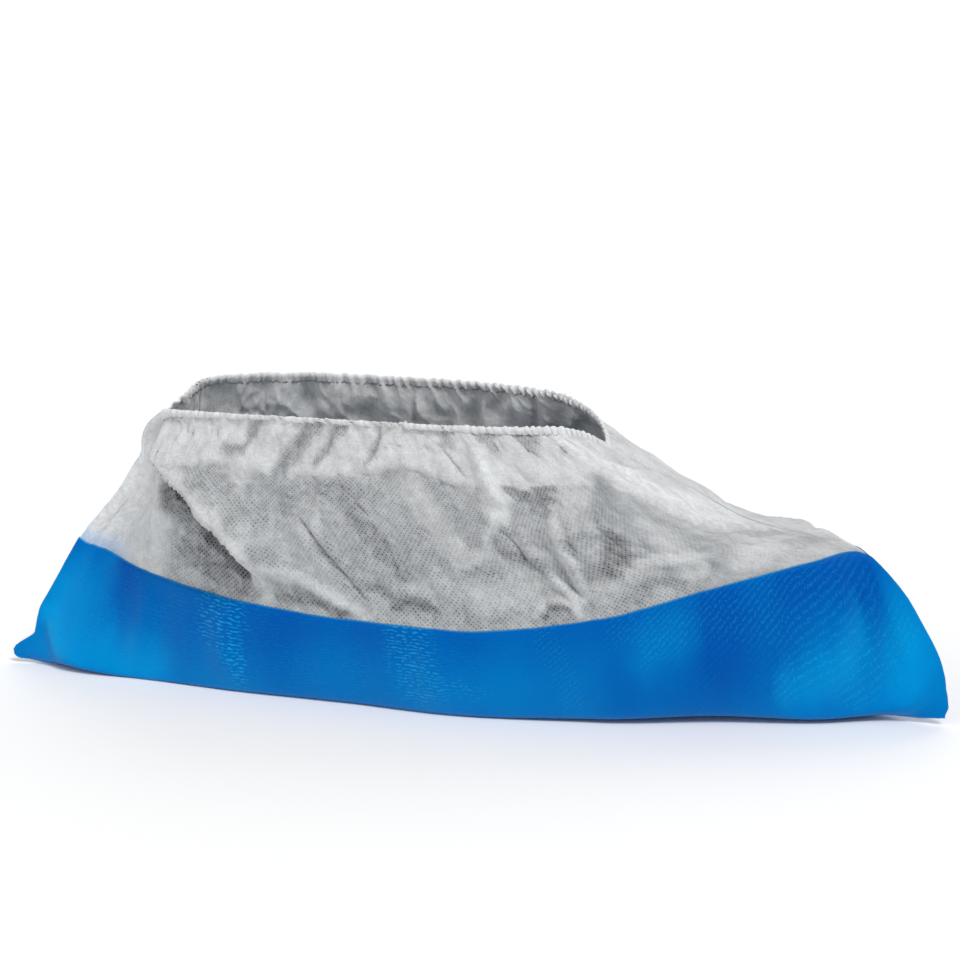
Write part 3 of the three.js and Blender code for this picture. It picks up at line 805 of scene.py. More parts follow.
# Strokes of (path, half width, share): where the near side stands free of what it covered, with painted
# highlights along its ridges, and where it was drawn tight over it or sinks into a hollow. Cloth drawn
# tight is painted darker and shows its dots, and the hollows get painted shade.
FREE_AND_HIGHLIT = [
    ([(-152, 158), (-136, 154), (-118, 143), (-108, 131), (-96, 122), (-90, 108), (-88, 94)], 5, 0.9),
    ([(-70, 180), (-84, 158), (-96, 146)], 7, 0.9),
    ([(-48, 172), (-58, 152)], 3, 0.7),
    ([(-41, 153), (-46, 140), (-51, 128)], 1.4, 0.6),
    ([(-84, 122), (-72, 118), (-62, 110), (-54, 100)], 6, 0.4),
    ([(-96, 106), (-80, 104), (-64, 100), (-50, 93), (-38, 90)], 2.8, 0.75),
    ([(-66, 130), (-56, 124)], 7, 0.35),
    ([(3, 148), (9, 134), (14, 121)], 8, 0.4),
    ([(14, 100), (30, 104), (40, 106)], 6, 0.45),
    ([(50, 164), (50, 150), (46, 139)], 6.5, 1.0),
    ([(46, 139), (34, 127), (22, 117), (10, 111)], 1.8, 0.6),
    ([(79, 150), (67, 124), (56, 98)], 2.6, 0.7),
    ([(94, 146), (86, 136)], 8, 0.6),
    ([(40, 112), (48, 105), (53, 94)], 1.8, 0.6),
    ([(34, 92), (40, 97), (47, 98), (53, 92)], 1.5, 0.7),
    ([(62, 98), (76, 104), (100, 107), (116, 106)], 3, 0.5),
    ([(118, 128), (108, 112), (104, 98)], 6, 0.5),
    ([(124, 96), (140, 104), (160, 108)], 6, 0.6),
    ([(-146, 137), (-136, 133), (-129, 125)], 1.4, 0.5),
]
TIGHT_AND_SHADED = [
    ([(-148, 147), (-140, 143), (-130, 135), (-117, 124)], 4.6, 2.2),
    ([(-146, 141), (-134, 130), (-120, 118)], 8, 1.25),
    ([(-114, 117), (-105, 109), (-98, 102)], 6.5, 1.95),
    ([(-122, 104), (-108, 98)], 8, 1.35),
    ([(-112, 104), (-100, 94)], 9, 1.25),
    ([(-77, 180), (-83, 171), (-90, 163), (-98, 164)], 3, 0.8),
    ([(-112, 150), (-98, 143)], 7, 0.9),
    ([(-43, 180), (-54, 168), (-66, 154), (-70, 142)], 4.6, 0.95),
    ([(-26, 180), (-34, 172), (-45, 160)], 2.6, 0.9),
    ([(-3, 180), (-10, 170), (-18, 160)], 1.6, 0.8),
    ([(36, 180), (35, 174)], 4.5, 0.7),
    ([(28, 172), (36, 158)], 1.3, 0.5),
    ([(64, 181), (63, 174)], 6, 0.75),
    ([(98, 181), (90, 176)], 5.5, 0.8),
    ([(116, 175), (113, 172)], 2, 0.6),
    ([(57, 150), (70, 149), (83, 151)], 2.6, 1.2),
    ([(60, 145), (70, 144), (79, 146)], 3.2, 1.25),
    ([(65, 139), (69, 137), (73, 139)], 2.6, 1.1),
    ([(36, 120), (46, 112)], 5, 1.15),
    ([(92, 124), (84, 114), (74, 107)], 6, 1.4),
    ([(68, 122), (67, 116)], 2.4, 1.2),
    ([(118, 154), (106, 144), (96, 133)], 6, 1.0),
    ([(38, 91), (43, 95), (48, 92)], 2.4, 1.3),
    ([(78, 93), (88, 97), (96, 92)], 4, 1.15),
    ([(-80, 92), (-66, 94), (-50, 89)], 3.4, 1.3),
    ([(-27, 94), (-18, 97), (-8, 94)], 2.6, 1.4),
    ([(-38, 103), (-26, 99)], 2.4, 1.2),
    ([(-28, 128), (-18, 112)], 8, 1.15),
    ([(-40, 146), (-30, 134)], 7, 1.05),
    ([(-66, 134), (-56, 146)], 6, 1.0),
    ([(-59, 129), (-52, 116), (-45, 105), (-40, 98)], 1.0, 1.4),
    ([(12, 111), (24, 112)], 2, 1.1),
    ([(44, 124), (43, 115)], 1.5, 1.3),
    ([(60, 128), (56, 112), (54, 100)], 1.8, 1.1),
    ([(142, 124), (160, 118), (190, 118)], 3.5, 0.8),
    ([(156, 101), (174, 104), (192, 103)], 6, 0.8),
]
# Single cloth with nothing close behind it, at the toe, under the mouth and at the heel: brighter, with
# painted highlights.
BRIGHT_HIGHLIGHTS = [
    ([(126, 176), (146, 158), (166, 146), (200, 142)], 11, 0.45),
    ([(50, 162), (50, 148)], 5, 0.5),
    ([(-196, 150), (-194, 125), (-192, 98)], 16, 0.45),
]
# Upper edge of the part drawn tight, painted darker below it: at | up.
TIGHT_TOP = np.array([
    [-205, 92], [-150, 150], [-135, 155], [-100, 156], [-62, 151], [-42, 152], [-12, 156], [1, 160],
    [14, 156], [24, 152], [80, 151], [104, 153], [118, 156], [130, 149], [146, 135], [162, 126], [205, 118],
], float).T


def stroke_share(path, width, at, up, soft=0.5):
    """1 along the path, half at its half width, falling to 0 outside; soft is from 0 to 1."""
    signed, _, _ = along_path(rounded_path(path, 8), at, up)
    return 1 - eased(np.abs(signed), (1 - soft) * width, (1 + soft) * width)


def tightness_and_shade(at, up, side):
    """How closely the cloth was drawn over what it covered: 1 is tight and 0 stands free; the tighter, the
    darker it is painted. It is more in dark hollows, as painted shade, and less than 0 in the brightest
    single cloth, as painted highlight."""
    wander = 1.6 * noise(at / 6, up / 6, 85 + side)
    up = up + 1.6 * noise(at / 6, up / 6, 185 + side)
    at = at + wander
    top = smooth_curve(TIGHT_TOP[0], TIGHT_TOP[1], at)
    tight = (0.80 + 0.30 * noise(at / 15, up / 14, 83 + side)) * (1 - eased(up, top - 2, top + 2))
    tight *= eased(at, -141, -130) * (1 - 0.45 * eased(at, 118, 150))
    tight *= eased(up, FILM_BAND - 30, FILM_BAND - 4)
    if side > 0:
        return np.clip(tight * (0.6 + 0.5 * noise(at / 13, up / 20, 89)), 0, 0.9)
    # Lighter where the cloth stands free: painted highlights along the ridges.
    for path, width, share in FREE_AND_HIGHLIT:
        tight *= 1 - share * stroke_share(path, width, at, up)
    rough = 1 + 0.3 * noise(at / 3, up / 3, 86)
    # Darker along the tight strokes: painted shade in the hollows.
    for path, width, share in TIGHT_AND_SHADED:
        tight = np.maximum(tight, share * rough * stroke_share(path, width, at, up))
    # Painted highlights on the brightest single cloth.
    for path, width, share in BRIGHT_HIGHLIGHTS:
        tight -= share * stroke_share(path, width, at, up)
    return tight


# Strokes of (path, half width, share) on the film's near side: where its embossing shows with painted
# glints, and where it catches painted light (or, if the share is negative, painted shade).
EMBOSS_AND_GLINT = [
    ([(-108, 87), (-107, 76)], 10, 1.0),
    ([(-106, 77), (-99, 60)], 5.5, 1.0),
    ([(-22, 86), (-19, 74), (-15, 64)], 10, 0.9),
    ([(-17, 65), (-4, 64), (9, 61)], 3.4, 0.8),
    ([(36, 86), (42, 74), (50, 60)], 5, 0.7),
    ([(70, 84), (88, 79), (108, 81)], 7, 0.8),
    ([(80, 73), (94, 77)], 4.5, 1.0),
    ([(112, 82), (145, 78), (182, 78)], 11, 0.7),
    ([(136, 60), (152, 64), (168, 68)], 4.5, 1.0),
    ([(166, 58), (180, 64), (198, 67)], 6.5, 1.0),
]
LIGHTER = [
    ([(-199, 73), (-187, 70)], 9, 0.35),
    ([(-196, 50), (-176, 54), (-140, 56)], 8, 0.35),
    ([(-202, 64), (-198, 48)], 6, 0.25),
    ([(-176, 84), (-168, 64)], 7, 0.2),
    ([(-158, 87), (-146, 73), (-132, 64)], 12, -0.08),
    ([(-88, 84), (-84, 64)], 12, -0.1),
    ([(24, 84), (20, 60)], 12, 0.08),
    ([(72, 60), (110, 56)], 11, -0.22),
    ([(112, 72), (132, 66)], 11, -0.2),
    ([(80, 73), (94, 77)], 8, 0.22),
    ([(138, 58), (156, 62), (172, 69)], 5, 0.35),
    ([(168, 58), (184, 61), (196, 66)], 8, 0.25),
    ([(194, 54), (200, 63), (206, 74)], 9, 0.35),
    ([(140, 86), (166, 82), (192, 81)], 9, -0.2),
]


def film_values():
    """For each point of the film: how much its embossing shows, with its painted glints, and how light it
    is, as painted light and shade. The near side has its strokes, and the far side random patches."""
    flat = flat_places(FILM_ROWS, True)
    at = flat[..., 0]
    up = np.abs(flat[..., 1])
    near = flat[..., 1] < 0
    side_up = up + 2.0 * noise(at / 7, up / 7, 101)
    side_at = at + 2.5 * noise(at / 7, up / 7, 103)
    emboss_and_glint = 0.12 + 0.10 * noise(at / 12, up / 12, 105)
    far_patches = eased(noise(at / 26, up / 34, 107), 0.1, 0.5)
    for path, width, share in EMBOSS_AND_GLINT:
        emboss_and_glint = np.maximum(emboss_and_glint, share * stroke_share(path, width, side_at, side_up))
    emboss_and_glint = np.where(near, emboss_and_glint, np.maximum(0.12, far_patches))
    light = 0.16 * noise(at / 30, up / 40, 109)
    near_light = light.copy()
    for path, width, share in LIGHTER:
        near_light += share * stroke_share(path, width, side_at, side_up, soft=1.0)
    light = np.where(near, near_light, light + 0.3 * far_patches - 0.1)
    return {name: np.tile(value.ravel(), 2) for name, value in (("emboss_and_glint", emboss_and_glint), ("light", light))}


def contact_and_shade_values(rows, welds):
    flat = flat_places(rows, welds)
    at = np.clip(flat[..., 0], RIB_ATS[0], RIB_ATS[-1])
    up = np.abs(flat[..., 1])
    return np.where(flat[..., 1] < 0, tightness_and_shade(at, up, -1), tightness_and_shade(at, up, 1))


# How far each skin lies outside the hollow at each level, in mm.
BAG_THICKNESS = 0.3
FILM_THICKNESS = 0.22
BAG_OUTER = 0.55 + 0.45 * eased(LEVELS, FILM_BAND + 1, FILM_BAND + 5)
BAG_INNER = BAG_OUTER - BAG_THICKNESS
FILM_OUTER = 1.25 - 0.3 * eased(LEVELS, FILM_BAND - 7, FILM_BAND)
FILM_INNER = FILM_OUTER - FILM_THICKNESS


def close_seams(grid):
    """Moves the two sides' points together along the first and last columns."""
    for seam in (0, -1):
        grid[seam] = (grid[seam] + grid[seam, ::-1]) / 2


def make_bag(material):
    outside = skin(BAG_OUTER, BAG_ROWS)
    inside = skin(BAG_INNER, BAG_ROWS, welds=False)
    close_seams(inside)
    ribs, steps = outside.shape[:2]
    vertices = np.concatenate([outside.reshape(-1, 3), inside.reshape(-1, 3)])
    first_inside = ribs * steps
    faces = grid_faces(0, ribs, steps, False)
    faces += grid_faces(first_inside, inside.shape[0], steps, True)
    welds = len(WELD_STEPS)
    index = np.arange(ribs * steps).reshape(ribs, steps)
    inner = first_inside + np.arange(inside.shape[0] * steps).reshape(inside.shape[0], steps)
    keel = len(BAG_ROWS) - 1
    for k in range(keel):
        other = 2 * keel - k
        faces.append([index[0, k], index[0, other], index[0, other - 1], index[0, k + 1]])
        faces.append([index[-1, other], index[-1, k], index[-1, k + 1], index[-1, other - 1]])
    top = slice(welds, ribs - welds)
    faces += strip_faces(index[top, 0], inner[:, 0])
    faces += strip_faces(inner[:, -1], index[top, -1])
    faces += mouth_ends(index, inner, welds)
    flat = flat_places(BAG_ROWS, True)
    flat_inside = flat_places(BAG_ROWS, False)
    uvs = {
        "Cloth": np.concatenate([flat.reshape(-1, 2), flat_inside.reshape(-1, 2)]),
        "OFBake": np.concatenate([
            bake_places(flat, BAG_BAKE_DEPTH, 0.002, 0.700),
            bake_places(flat_inside, BAG_BAKE_DEPTH, 0.702, 0.998),
        ]),
    }
    contact_and_shade = np.concatenate([contact_and_shade_values(BAG_ROWS, welds).ravel() for welds in (True, False)])
    return make_object("bag", vertices, faces, material, uvs, {"contact_and_shade": contact_and_shade})


def mouth_ends(index, inner, welds):
    """Closes the cloth's edge at the mouth over each weld."""
    faces = []
    for i in range(welds):
        faces.append([index[i, 0], index[i + 1, 0], index[i + 1, -1], index[i, -1]])
        j = index.shape[0] - 1 - i
        faces.append([index[j - 1, 0], index[j, 0], index[j, -1], index[j - 1, -1]])
    faces.append([index[welds, 0], inner[0, 0], index[welds, -1]])
    faces.append([inner[-1, 0], index[-1 - welds, 0], index[-1 - welds, -1]])
    faces.append([inner[0, 0], inner[0, -1], index[welds, -1]])
    faces.append([inner[-1, -1], inner[-1, 0], index[-1 - welds, -1]])
    return faces


def make_film(material):
    outside = skin(FILM_OUTER, FILM_ROWS, pressed=0.36, groove=0.86, wider=0.5)
    inside = skin(FILM_INNER, FILM_ROWS, pressed=0.28, groove=0.80, wider=0.3)
    close_seams(outside)
    close_seams(inside)
    ribs, steps = outside.shape[:2]
    count = ribs * steps
    vertices = np.concatenate([outside.reshape(-1, 3), inside.reshape(-1, 3)])
    faces = grid_faces(0, ribs, steps, False)
    faces += grid_faces(count, ribs, steps, True)
    outer = np.arange(count).reshape(ribs, steps)
    inner = outer + count
    faces += strip_faces(outer[:, 0], inner[:, 0])
    faces += strip_faces(inner[:, -1], outer[:, -1])
    flat = flat_places(FILM_ROWS, True)
    uvs = {
        "Cloth": np.concatenate([flat.reshape(-1, 2)] * 2),
        "OFBake": np.concatenate([
            bake_places(flat, FILM_BAKE_DEPTH, 0.002, 0.780),
            bake_places(flat, FILM_BAKE_DEPTH, 0.782, 0.998),
        ]),
    }
    return make_object("film", vertices, faces, material, uvs, film_values())


# ---------------------------------------------------------------- hem

HEM_SAMPLES = 1040
BEAD_PITCH = 3.1
THINNEST_ROLL = 0.19
SMOOTHING_ROUNDS = 3
# Cross-section of the rolled edge, which folds over the cloth's edge: (outward, upward) in mm.
HEM_PROFILE = np.array([
    (0.24, -2.6), (0.36, -1.8), (0.62, -0.9), (0.90, 0.0), (0.94, 0.8), (0.62, 1.5), (0.0, 1.8),
    (-0.62, 1.5), (-0.94, 0.8), (-0.90, 0.0), (-0.62, -0.9), (-0.36, -1.8), (-0.24, -2.6),
    (-0.20, -1.8), (-0.20, -0.2), (0.0, 0.1), (0.20, -0.2), (0.20, -1.8),
])


def mouth_loop():
    """The cloth's edge round the mouth, with its outward and upward directions, in mm."""
    middle = (BAG_OUTER[-1] + BAG_INNER[-1]) / 2
    rows = []
    for side in SIDES:
        grid = HALVES[side]
        directions = outward_directions(grid, side)
        edge = grid[:, -1] + directions[:, -1] * (middle * thinned(RIB_ATS))[:, None]
        upward = unit(grid[:, -1] - grid[:, -3])
        rows.append((edge, directions[:, -1], upward))
    near, far = rows
    return [np.concatenate([a, b[::-1][1:-1]]) for a, b in zip(near, far)]


def resampled(values, reached, wanted):
    """Values known at reached, read at wanted."""
    return np.stack([np.interp(wanted, reached, part) for part in values.T], axis=-1)


def evened(directions):
    for _ in range(SMOOTHING_ROUNDS):
        directions = (np.roll(directions, 1, axis=0) + directions + np.roll(directions, -1, axis=0)) / 3
    return directions


def bead_shapes(wanted, length):
    """How plump the roll is at each sample, 1 on a bead and 0 between two, and how strong its beads."""
    beads = round(length / BEAD_PITCH)
    turn = wanted / length * beads * 2 * math.pi
    turn = turn + 1.3 * noise(wanted / 17, wanted * 0, 91)
    strength = 0.75 + 0.35 * noise(wanted / 11, wanted * 0 + 5, 92)
    return np.abs(np.cos(turn / 2)) ** 0.7, strength


HEM_OUTSIDE = np.arange(len(HEM_PROFILE)) < 13  # its first 13 points go round the outside
HEM_TOP = HEM_OUTSIDE & (HEM_PROFILE[:, 1] > 0)
HEM_SKIRT = HEM_OUTSIDE & (HEM_PROFILE[:, 1] < -0.5)


def hem_profiles(plump, strength, rolled):
    """The cross-section at each sample, swollen on the beads; rolled is how full the roll is."""
    profile = HEM_PROFILE[None, :, :] * np.ones((HEM_SAMPLES, 1, 1))
    width = (0.80 + 0.30 * plump * strength) * rolled
    thick = np.maximum(np.abs(profile[:, HEM_OUTSIDE, 0]) * width[:, None], THINNEST_ROLL)
    profile[:, HEM_OUTSIDE, 0] = np.sign(profile[:, HEM_OUTSIDE, 0]) * thick
    profile[:, HEM_TOP, 1] *= ((0.82 + 0.26 * plump * strength) * rolled)[:, None]
    profile[:, HEM_SKIRT, 1] *= (0.75 + 0.45 * plump * strength)[:, None]
    return profile


def ring_faces(count, steps):
    """The faces of a tube of count rings of steps points, closed both ways."""
    ring = np.arange(count * steps).reshape(count, steps)
    following = np.roll(ring, -1, axis=0)
    corners = (ring, np.roll(ring, -1, axis=1), np.roll(following, -1, axis=1), following)
    return np.stack(corners, axis=-1).reshape(-1, 4).tolist()


def make_hem(material):
    edge, outward, upward = mouth_loop()
    closed = [np.concatenate([v, v[:1]]) for v in (edge, outward, upward)]
    reached = np.concatenate([[0], np.cumsum(np.linalg.norm(np.diff(closed[0], axis=0), axis=1))])
    wanted = np.linspace(0, reached[-1], HEM_SAMPLES, endpoint=False)
    edge, outward, upward = [resampled(v, reached, wanted) for v in closed]
    outward = unit(evened(outward))[:, None]
    upward = unit(evened(upward) * 0.7 + np.array([0, 0, 0.3]))[:, None]
    plump, strength = bead_shapes(wanted, reached[-1])
    # The roll is flatter at the heel, where the loop starts and ends.
    rolled = 0.5 + 0.5 * eased(np.minimum(wanted, reached[-1] - wanted), 8, 34)
    profile = hem_profiles(plump, strength, rolled)
    sway = 0.22 * noise(wanted / 5, wanted * 0 + 9, 93)
    points = edge[:, None] + outward * profile[..., :1] + upward * profile[..., 1:]
    points[:, HEM_TOP] += outward * sway[:, None, None]
    steps = len(HEM_PROFILE)
    along = np.broadcast_to(wanted[:, None], (HEM_SAMPLES, steps))
    across = np.broadcast_to(np.arange(steps)[None], (HEM_SAMPLES, steps)) * 0.6
    uvs = {"Cloth": np.stack([along, across], axis=-1).reshape(-1, 2)}
    # Painted shade in the dips between the beads.
    bead_gap_shade = np.broadcast_to((1 - plump)[:, None], (HEM_SAMPLES, steps)).ravel()
    faces = ring_faces(HEM_SAMPLES, steps)
    return make_object("hem", points.reshape(-1, 3), faces, material, uvs, {"bead_gap_shade": bead_gap_shade})


# ---------------------------------------------------------------- materials

def new_material(name):
    material = bpy.data.materials.new(name)
    material.use_nodes = True
    tree = material.node_tree
    tree.nodes.clear()
    return material, tree


def add(tree, kind, inputs=None, **settings):
    """A node; inputs maps a socket's name or number to a value or to the output that feeds it."""
    made = tree.nodes.new("ShaderNode" + kind)
    for key, value in settings.items():
        setattr(made, key, value)
    for key, value in (inputs or {}).items():
        if isinstance(value, bpy.types.NodeSocket):
            tree.links.new(value, made.inputs[key])
        else:
            made.inputs[key].default_value = value
    return made


def maths(tree, operation, a, b=0.0, clamp=False):
    return add(tree, "Math", {0: a, 1: b}, operation=operation, use_clamp=clamp).outputs[0]


def plus(tree, a, b, clamp=False):
    return maths(tree, "ADD", a, b, clamp)


def minus(tree, a, b):
    return maths(tree, "SUBTRACT", a, b)


def times(tree, a, b):
    return maths(tree, "MULTIPLY", a, b)


def weighted(tree, *pairs):
    """The sum of (value, weight) pairs, each value times its weight."""
    total = times(tree, *pairs[0])
    for pair in pairs[1:]:
        total = plus(tree, total, times(tree, *pair))
    return total


def blended(tree, a, b, share):
    """From a, where share is 0, to b, where it is 1."""
    return plus(tree, times(tree, a, minus(tree, 1.0, share)), times(tree, b, share))


def ranged(tree, value, low, high, to_low=0.0, to_high=1.0):
    inputs = {"Value": value, "From Min": low, "From Max": high, "To Min": to_low, "To Max": to_high}
    return add(tree, "MapRange", inputs, interpolation_type="SMOOTHSTEP").outputs["Result"]


def mixed(tree, share, a, b):
    made = add(tree, "Mix", data_type="RGBA")
    for socket, value in ((made.inputs[0], share), (made.inputs[6], a), (made.inputs[7], b)):
        if isinstance(value, bpy.types.NodeSocket):
            tree.links.new(value, socket)
        else:
            socket.default_value = value
    return made.outputs[2]


def cloth_place(tree):
    place = add(tree, "UVMap", uv_map="Cloth").outputs[0]
    parts = add(tree, "SeparateXYZ", {0: place})
    return place, parts.outputs[0], parts.outputs[1]


def lattice(tree, at, up, pitch):
    """Waves whose tops form a diamond lattice, from -1 to 1."""
    across = maths(tree, "COSINE", times(tree, at, 2 * math.pi / pitch))
    upward = maths(tree, "COSINE", times(tree, up, 2 * math.pi / pitch))
    return times(tree, across, upward)


def cloudy(tree, place, size, detail=3.0, seed=0.0, stretch=(1, 1)):
    """Random clouds of the given size in mm, about 0 to 1."""
    scale = (stretch[0] / size, stretch[1] / size, 1)
    inputs = {"Vector": place, "Location": (seed, seed * 0.7, 0), "Scale": scale}
    moved = add(tree, "Mapping", inputs).outputs[0]
    inputs = {"Vector": moved, "Scale": 1.0, "Detail": detail, "Roughness": 0.55}
    return add(tree, "TexNoise", inputs, noise_dimensions="2D").outputs[0]


def crumpled(tree, place, size, seed):
    """Flat facets between creases, as pressed cloth keeps them: 0 in the creases, rising between."""
    scale = (1 / size, 1 / size, 1)
    moved = add(tree, "Mapping", {"Vector": place, "Location": (seed, seed, 0), "Scale": scale})
    inputs = {"Vector": moved.outputs[0], "Scale": 1.3, "Detail": 2.0}
    wander = add(tree, "TexNoise", inputs, noise_dimensions="2D").outputs[1]
    bent = add(tree, "VectorMath", {0: moved.outputs[0], 1: wander}, operation="ADD").outputs[0]
    edges = add(tree, "TexVoronoi", {"Vector": bent, "Scale": 1.0}, voronoi_dimensions="2D",
                feature="DISTANCE_TO_EDGE")
    return ranged(tree, edges.outputs["Distance"], 0.0, 0.35)


def tone_layer(tree, name):
    """A tone of the cloth, kept as a value at each of its points; some of these hold painted light and
    shade.
    """
    return add(tree, "Attribute", attribute_name=name).outputs["Fac"]


def toned(tree, colour, tone):
    return add(tree, "VectorMath", {0: colour, 3: tone}, operation="SCALE").outputs[0]


def lets_through(tree, surface, share, inputs):
    """The surface, with a share of light let through the cloth."""
    through = add(tree, "BsdfTranslucent", inputs)
    return add(tree, "MixShader", {0: share, 1: surface.outputs[0], 2: through.outputs[0]})


BOND_PITCH = 2.1
CLOTH_FREE = (0.71, 0.725, 0.735, 1)
CLOTH_TIGHT_SHADED = (0.43, 0.445, 0.46, 1)
FILM_BEHIND = (0.22, 0.46, 0.80, 1)
HEM_COLOUR = (0.84, 0.85, 0.86)


def nonwoven_tone(tree, place, contact_and_shade, fibres, clouds):
    """How light the cloth is, from its clouds, its fibres and how tight it lies, with painted shade in
    hollows and painted highlights on the brightest cloth.
    """
    broad = cloudy(tree, place, 34.0, 3.0, 17.0)
    # Painted shade: the deepest hollows are darkened.
    hollow_shade = ranged(tree, contact_and_shade, 0.9, 2.0, 1.0, 0.38)
    # Painted highlight: the brightest single cloth is lightened.
    highlight_lift = ranged(tree, contact_and_shade, -0.8, 0.0, 1.2, 1.0)
    cloudiness = ranged(tree, clouds, 0.3, 0.7, 0.92, 1.06)
    tone = plus(tree, cloudiness, ranged(tree, broad, 0.35, 0.65, -0.03, 0.03))
    mottled = ranged(tree, cloudy(tree, place, 3.6, 3.0, 29.0), 0.3, 0.7, -0.09, 0.09)
    tone = plus(tree, tone, times(tree, mottled, contact_and_shade))
    tone = plus(tree, tone, ranged(tree, fibres, 0.75, 1.25, -0.07, 0.07))
    return times(tree, tone, times(tree, hollow_shade, highlight_lift))


def film_tint(tree, at, height):
    """How blue the film makes the cloth: where it lies under it, and just above it at the heel."""
    low = ranged(tree, height, FILM_BAND - 1, FILM_BAND + 12, 1.0, 0.0)
    at_heel = ranged(tree, at, -150, -185, 0.0, 1.0)
    below = ranged(tree, height, FILM_BAND - 2, FILM_BAND, 0.42, 0.0)
    return maths(tree, "MAXIMUM", below, times(tree, low, times(tree, at_heel, 0.5)))


def nonwoven_material():
    material, tree = new_material("nonwoven")
    place, at, up = cloth_place(tree)
    contact_and_shade = tone_layer(tree, "contact_and_shade")
    uneven = times(tree, cloudy(tree, place, 2.6, 3.0, 41.0), 1.7)
    dots = ranged(tree, plus(tree, lattice(tree, at, up, BOND_PITCH), uneven), 1.25, 1.65)
    fibres_along = cloudy(tree, place, 1.2, 2.0, 3.0, (1.0, 0.35))
    fibres_across = cloudy(tree, place, 1.0, 2.0, 11.0, (0.35, 1.0))
    fibres = plus(tree, fibres_along, fibres_across)
    clouds = cloudy(tree, place, 9.0, 4.0, 5.0)
    tone = nonwoven_tone(tree, place, contact_and_shade, fibres, clouds)
    # The dots show, painted dark, where the cloth lies tight and in the painted shade of hollows, and fade
    # over the toe.
    shown = ranged(tree, at, 84, 124, 1.0, 0.12)
    dot_depth = times(tree, ranged(tree, contact_and_shade, -0.2, 1.2, 0.0, 0.55), shown)
    tone = minus(tree, tone, times(tree, dots, dot_depth))
    # Painted darkening towards the tight colour where the cloth lies tight, and painted shade in hollows.
    base = toned(tree, mixed(tree, contact_and_shade, CLOTH_FREE, CLOTH_TIGHT_SHADED), tone)
    tint = film_tint(tree, at, maths(tree, "ABSOLUTE", up))
    colour = mixed(tree, tint, base, FILM_BEHIND)

    relief = weighted(tree, (dots, -0.10), (fibres, 0.07), (clouds, 0.30),
                      (crumpled(tree, place, 11.0, 3.0), 0.10), (crumpled(tree, place, 5.0, 23.0), 0.05))
    bump = add(tree, "Bump", {"Height": relief, "Strength": 0.9, "Distance": MM})
    surface = add(tree, "BsdfPrincipled", {
        "Base Color": colour, "Roughness": 0.82, "Specular IOR Level": 0.25, "Sheen Weight": 0.2,
        "Sheen Roughness": 0.6, "Normal": bump.outputs[0],
    })
    both = lets_through(tree, surface, 0.20, {"Color": colour, "Normal": bump.outputs[0]})
    add(tree, "OutputMaterial", {0: both.outputs[0]})
    return material


# The film's embossing, in mm, and its colours: its blue, lit and shaded, its painted glint and its edge.
LEVEL_ROW_PITCH = 1.4
SLOPED_ROW_PITCH = 1.9
ROW_SLOPE = math.radians(32)
FILM_SHADED = (0.0, 0.077, 0.375, 1)
FILM_LIT = (0.0, 0.275, 0.64, 1)
FILM_GLINT = (0.01, 0.42, 0.80, 1)
FILM_EDGE = (0.10, 0.50, 0.78, 1)


def embossing(tree, place, at, height):
    """Short dashes in wavy rows: level at the heel, and rising towards the toe."""
    wander = times(tree, cloudy(tree, place, 5.0, 2.0, 13.0), 9.0)
    level = times(tree, height, 2 * math.pi / LEVEL_ROW_PITCH)
    risen = times(tree, height, 2 * math.pi * math.cos(ROW_SLOPE) / SLOPED_ROW_PITCH)
    # Towards the tip of the toe the rows run less steeply.
    gentler = maths(tree, "MINIMUM", at, plus(tree, times(tree, at, 0.4), 84.0))
    run = times(tree, gentler, 2 * math.pi * math.sin(ROW_SLOPE) / SLOPED_ROW_PITCH)
    level_rows = maths(tree, "SINE", plus(tree, level, wander))
    sloped_rows = maths(tree, "SINE", plus(tree, minus(tree, risen, run), times(tree, wander, 0.5)))
    forward = ranged(tree, at, -10, 60)
    rows = blended(tree, level_rows, sloped_rows, forward)
    dashes = cloudy(tree, place, 1.3, 2.0, 23.0, (0.55, 1.0))
    grains = cloudy(tree, place, 0.8, 1.0, 27.0)
    broken = blended(tree, dashes, grains, forward)
    return ranged(tree, plus(tree, times(tree, rows, 0.18), broken), 0.52, 0.76)


def film_material():
    material, tree = new_material("film")
    place, at, up = cloth_place(tree)
    emboss_and_glint = tone_layer(tree, "emboss_and_glint")
    height = maths(tree, "ABSOLUTE", up)
    dashes = embossing(tree, place, at, height)
    fine = cloudy(tree, place, 3.0, 3.0, 31.0)
    # Painted light: the film is lighter towards the sole, as the floor lights it from below, and the
    # strokes add painted light and shade.
    floor_bounce_light = ranged(tree, height, 48, FILM_BAND, 0.52, 0.12)
    lit_share = plus(tree, floor_bounce_light, tone_layer(tree, "light"), clamp=True)
    colour = mixed(tree, lit_share, FILM_SHADED, FILM_LIT)
    # Painted glints on the embossing, fainter towards the toe.
    shine = ranged(tree, at, -20, 60, 0.55, 0.24)
    glint = times(tree, dashes, times(tree, emboss_and_glint, shine))
    colour = mixed(tree, glint, colour, FILM_GLINT)
    edge = ranged(tree, height, FILM_BAND - 0.8, FILM_BAND - 0.2, 0.0, 0.3)
    colour = mixed(tree, edge, colour, FILM_EDGE)
    dash_height = plus(tree, times(tree, emboss_and_glint, 0.16), 0.03)
    relief = weighted(tree, (dashes, dash_height), (fine, 0.12))
    bump = add(tree, "Bump", {"Height": relief, "Strength": 0.8, "Distance": MM})
    rough = ranged(tree, fine, 0.3, 0.7, 0.32, 0.46)
    surface = add(tree, "BsdfPrincipled", {
        "Base Color": colour, "Roughness": rough, "Specular IOR Level": 0.36,
        "Specular Tint": (0.03, 0.42, 0.95, 1), "Normal": bump.outputs[0],
    })
    add(tree, "OutputMaterial", {0: surface.outputs[0]})
    return material


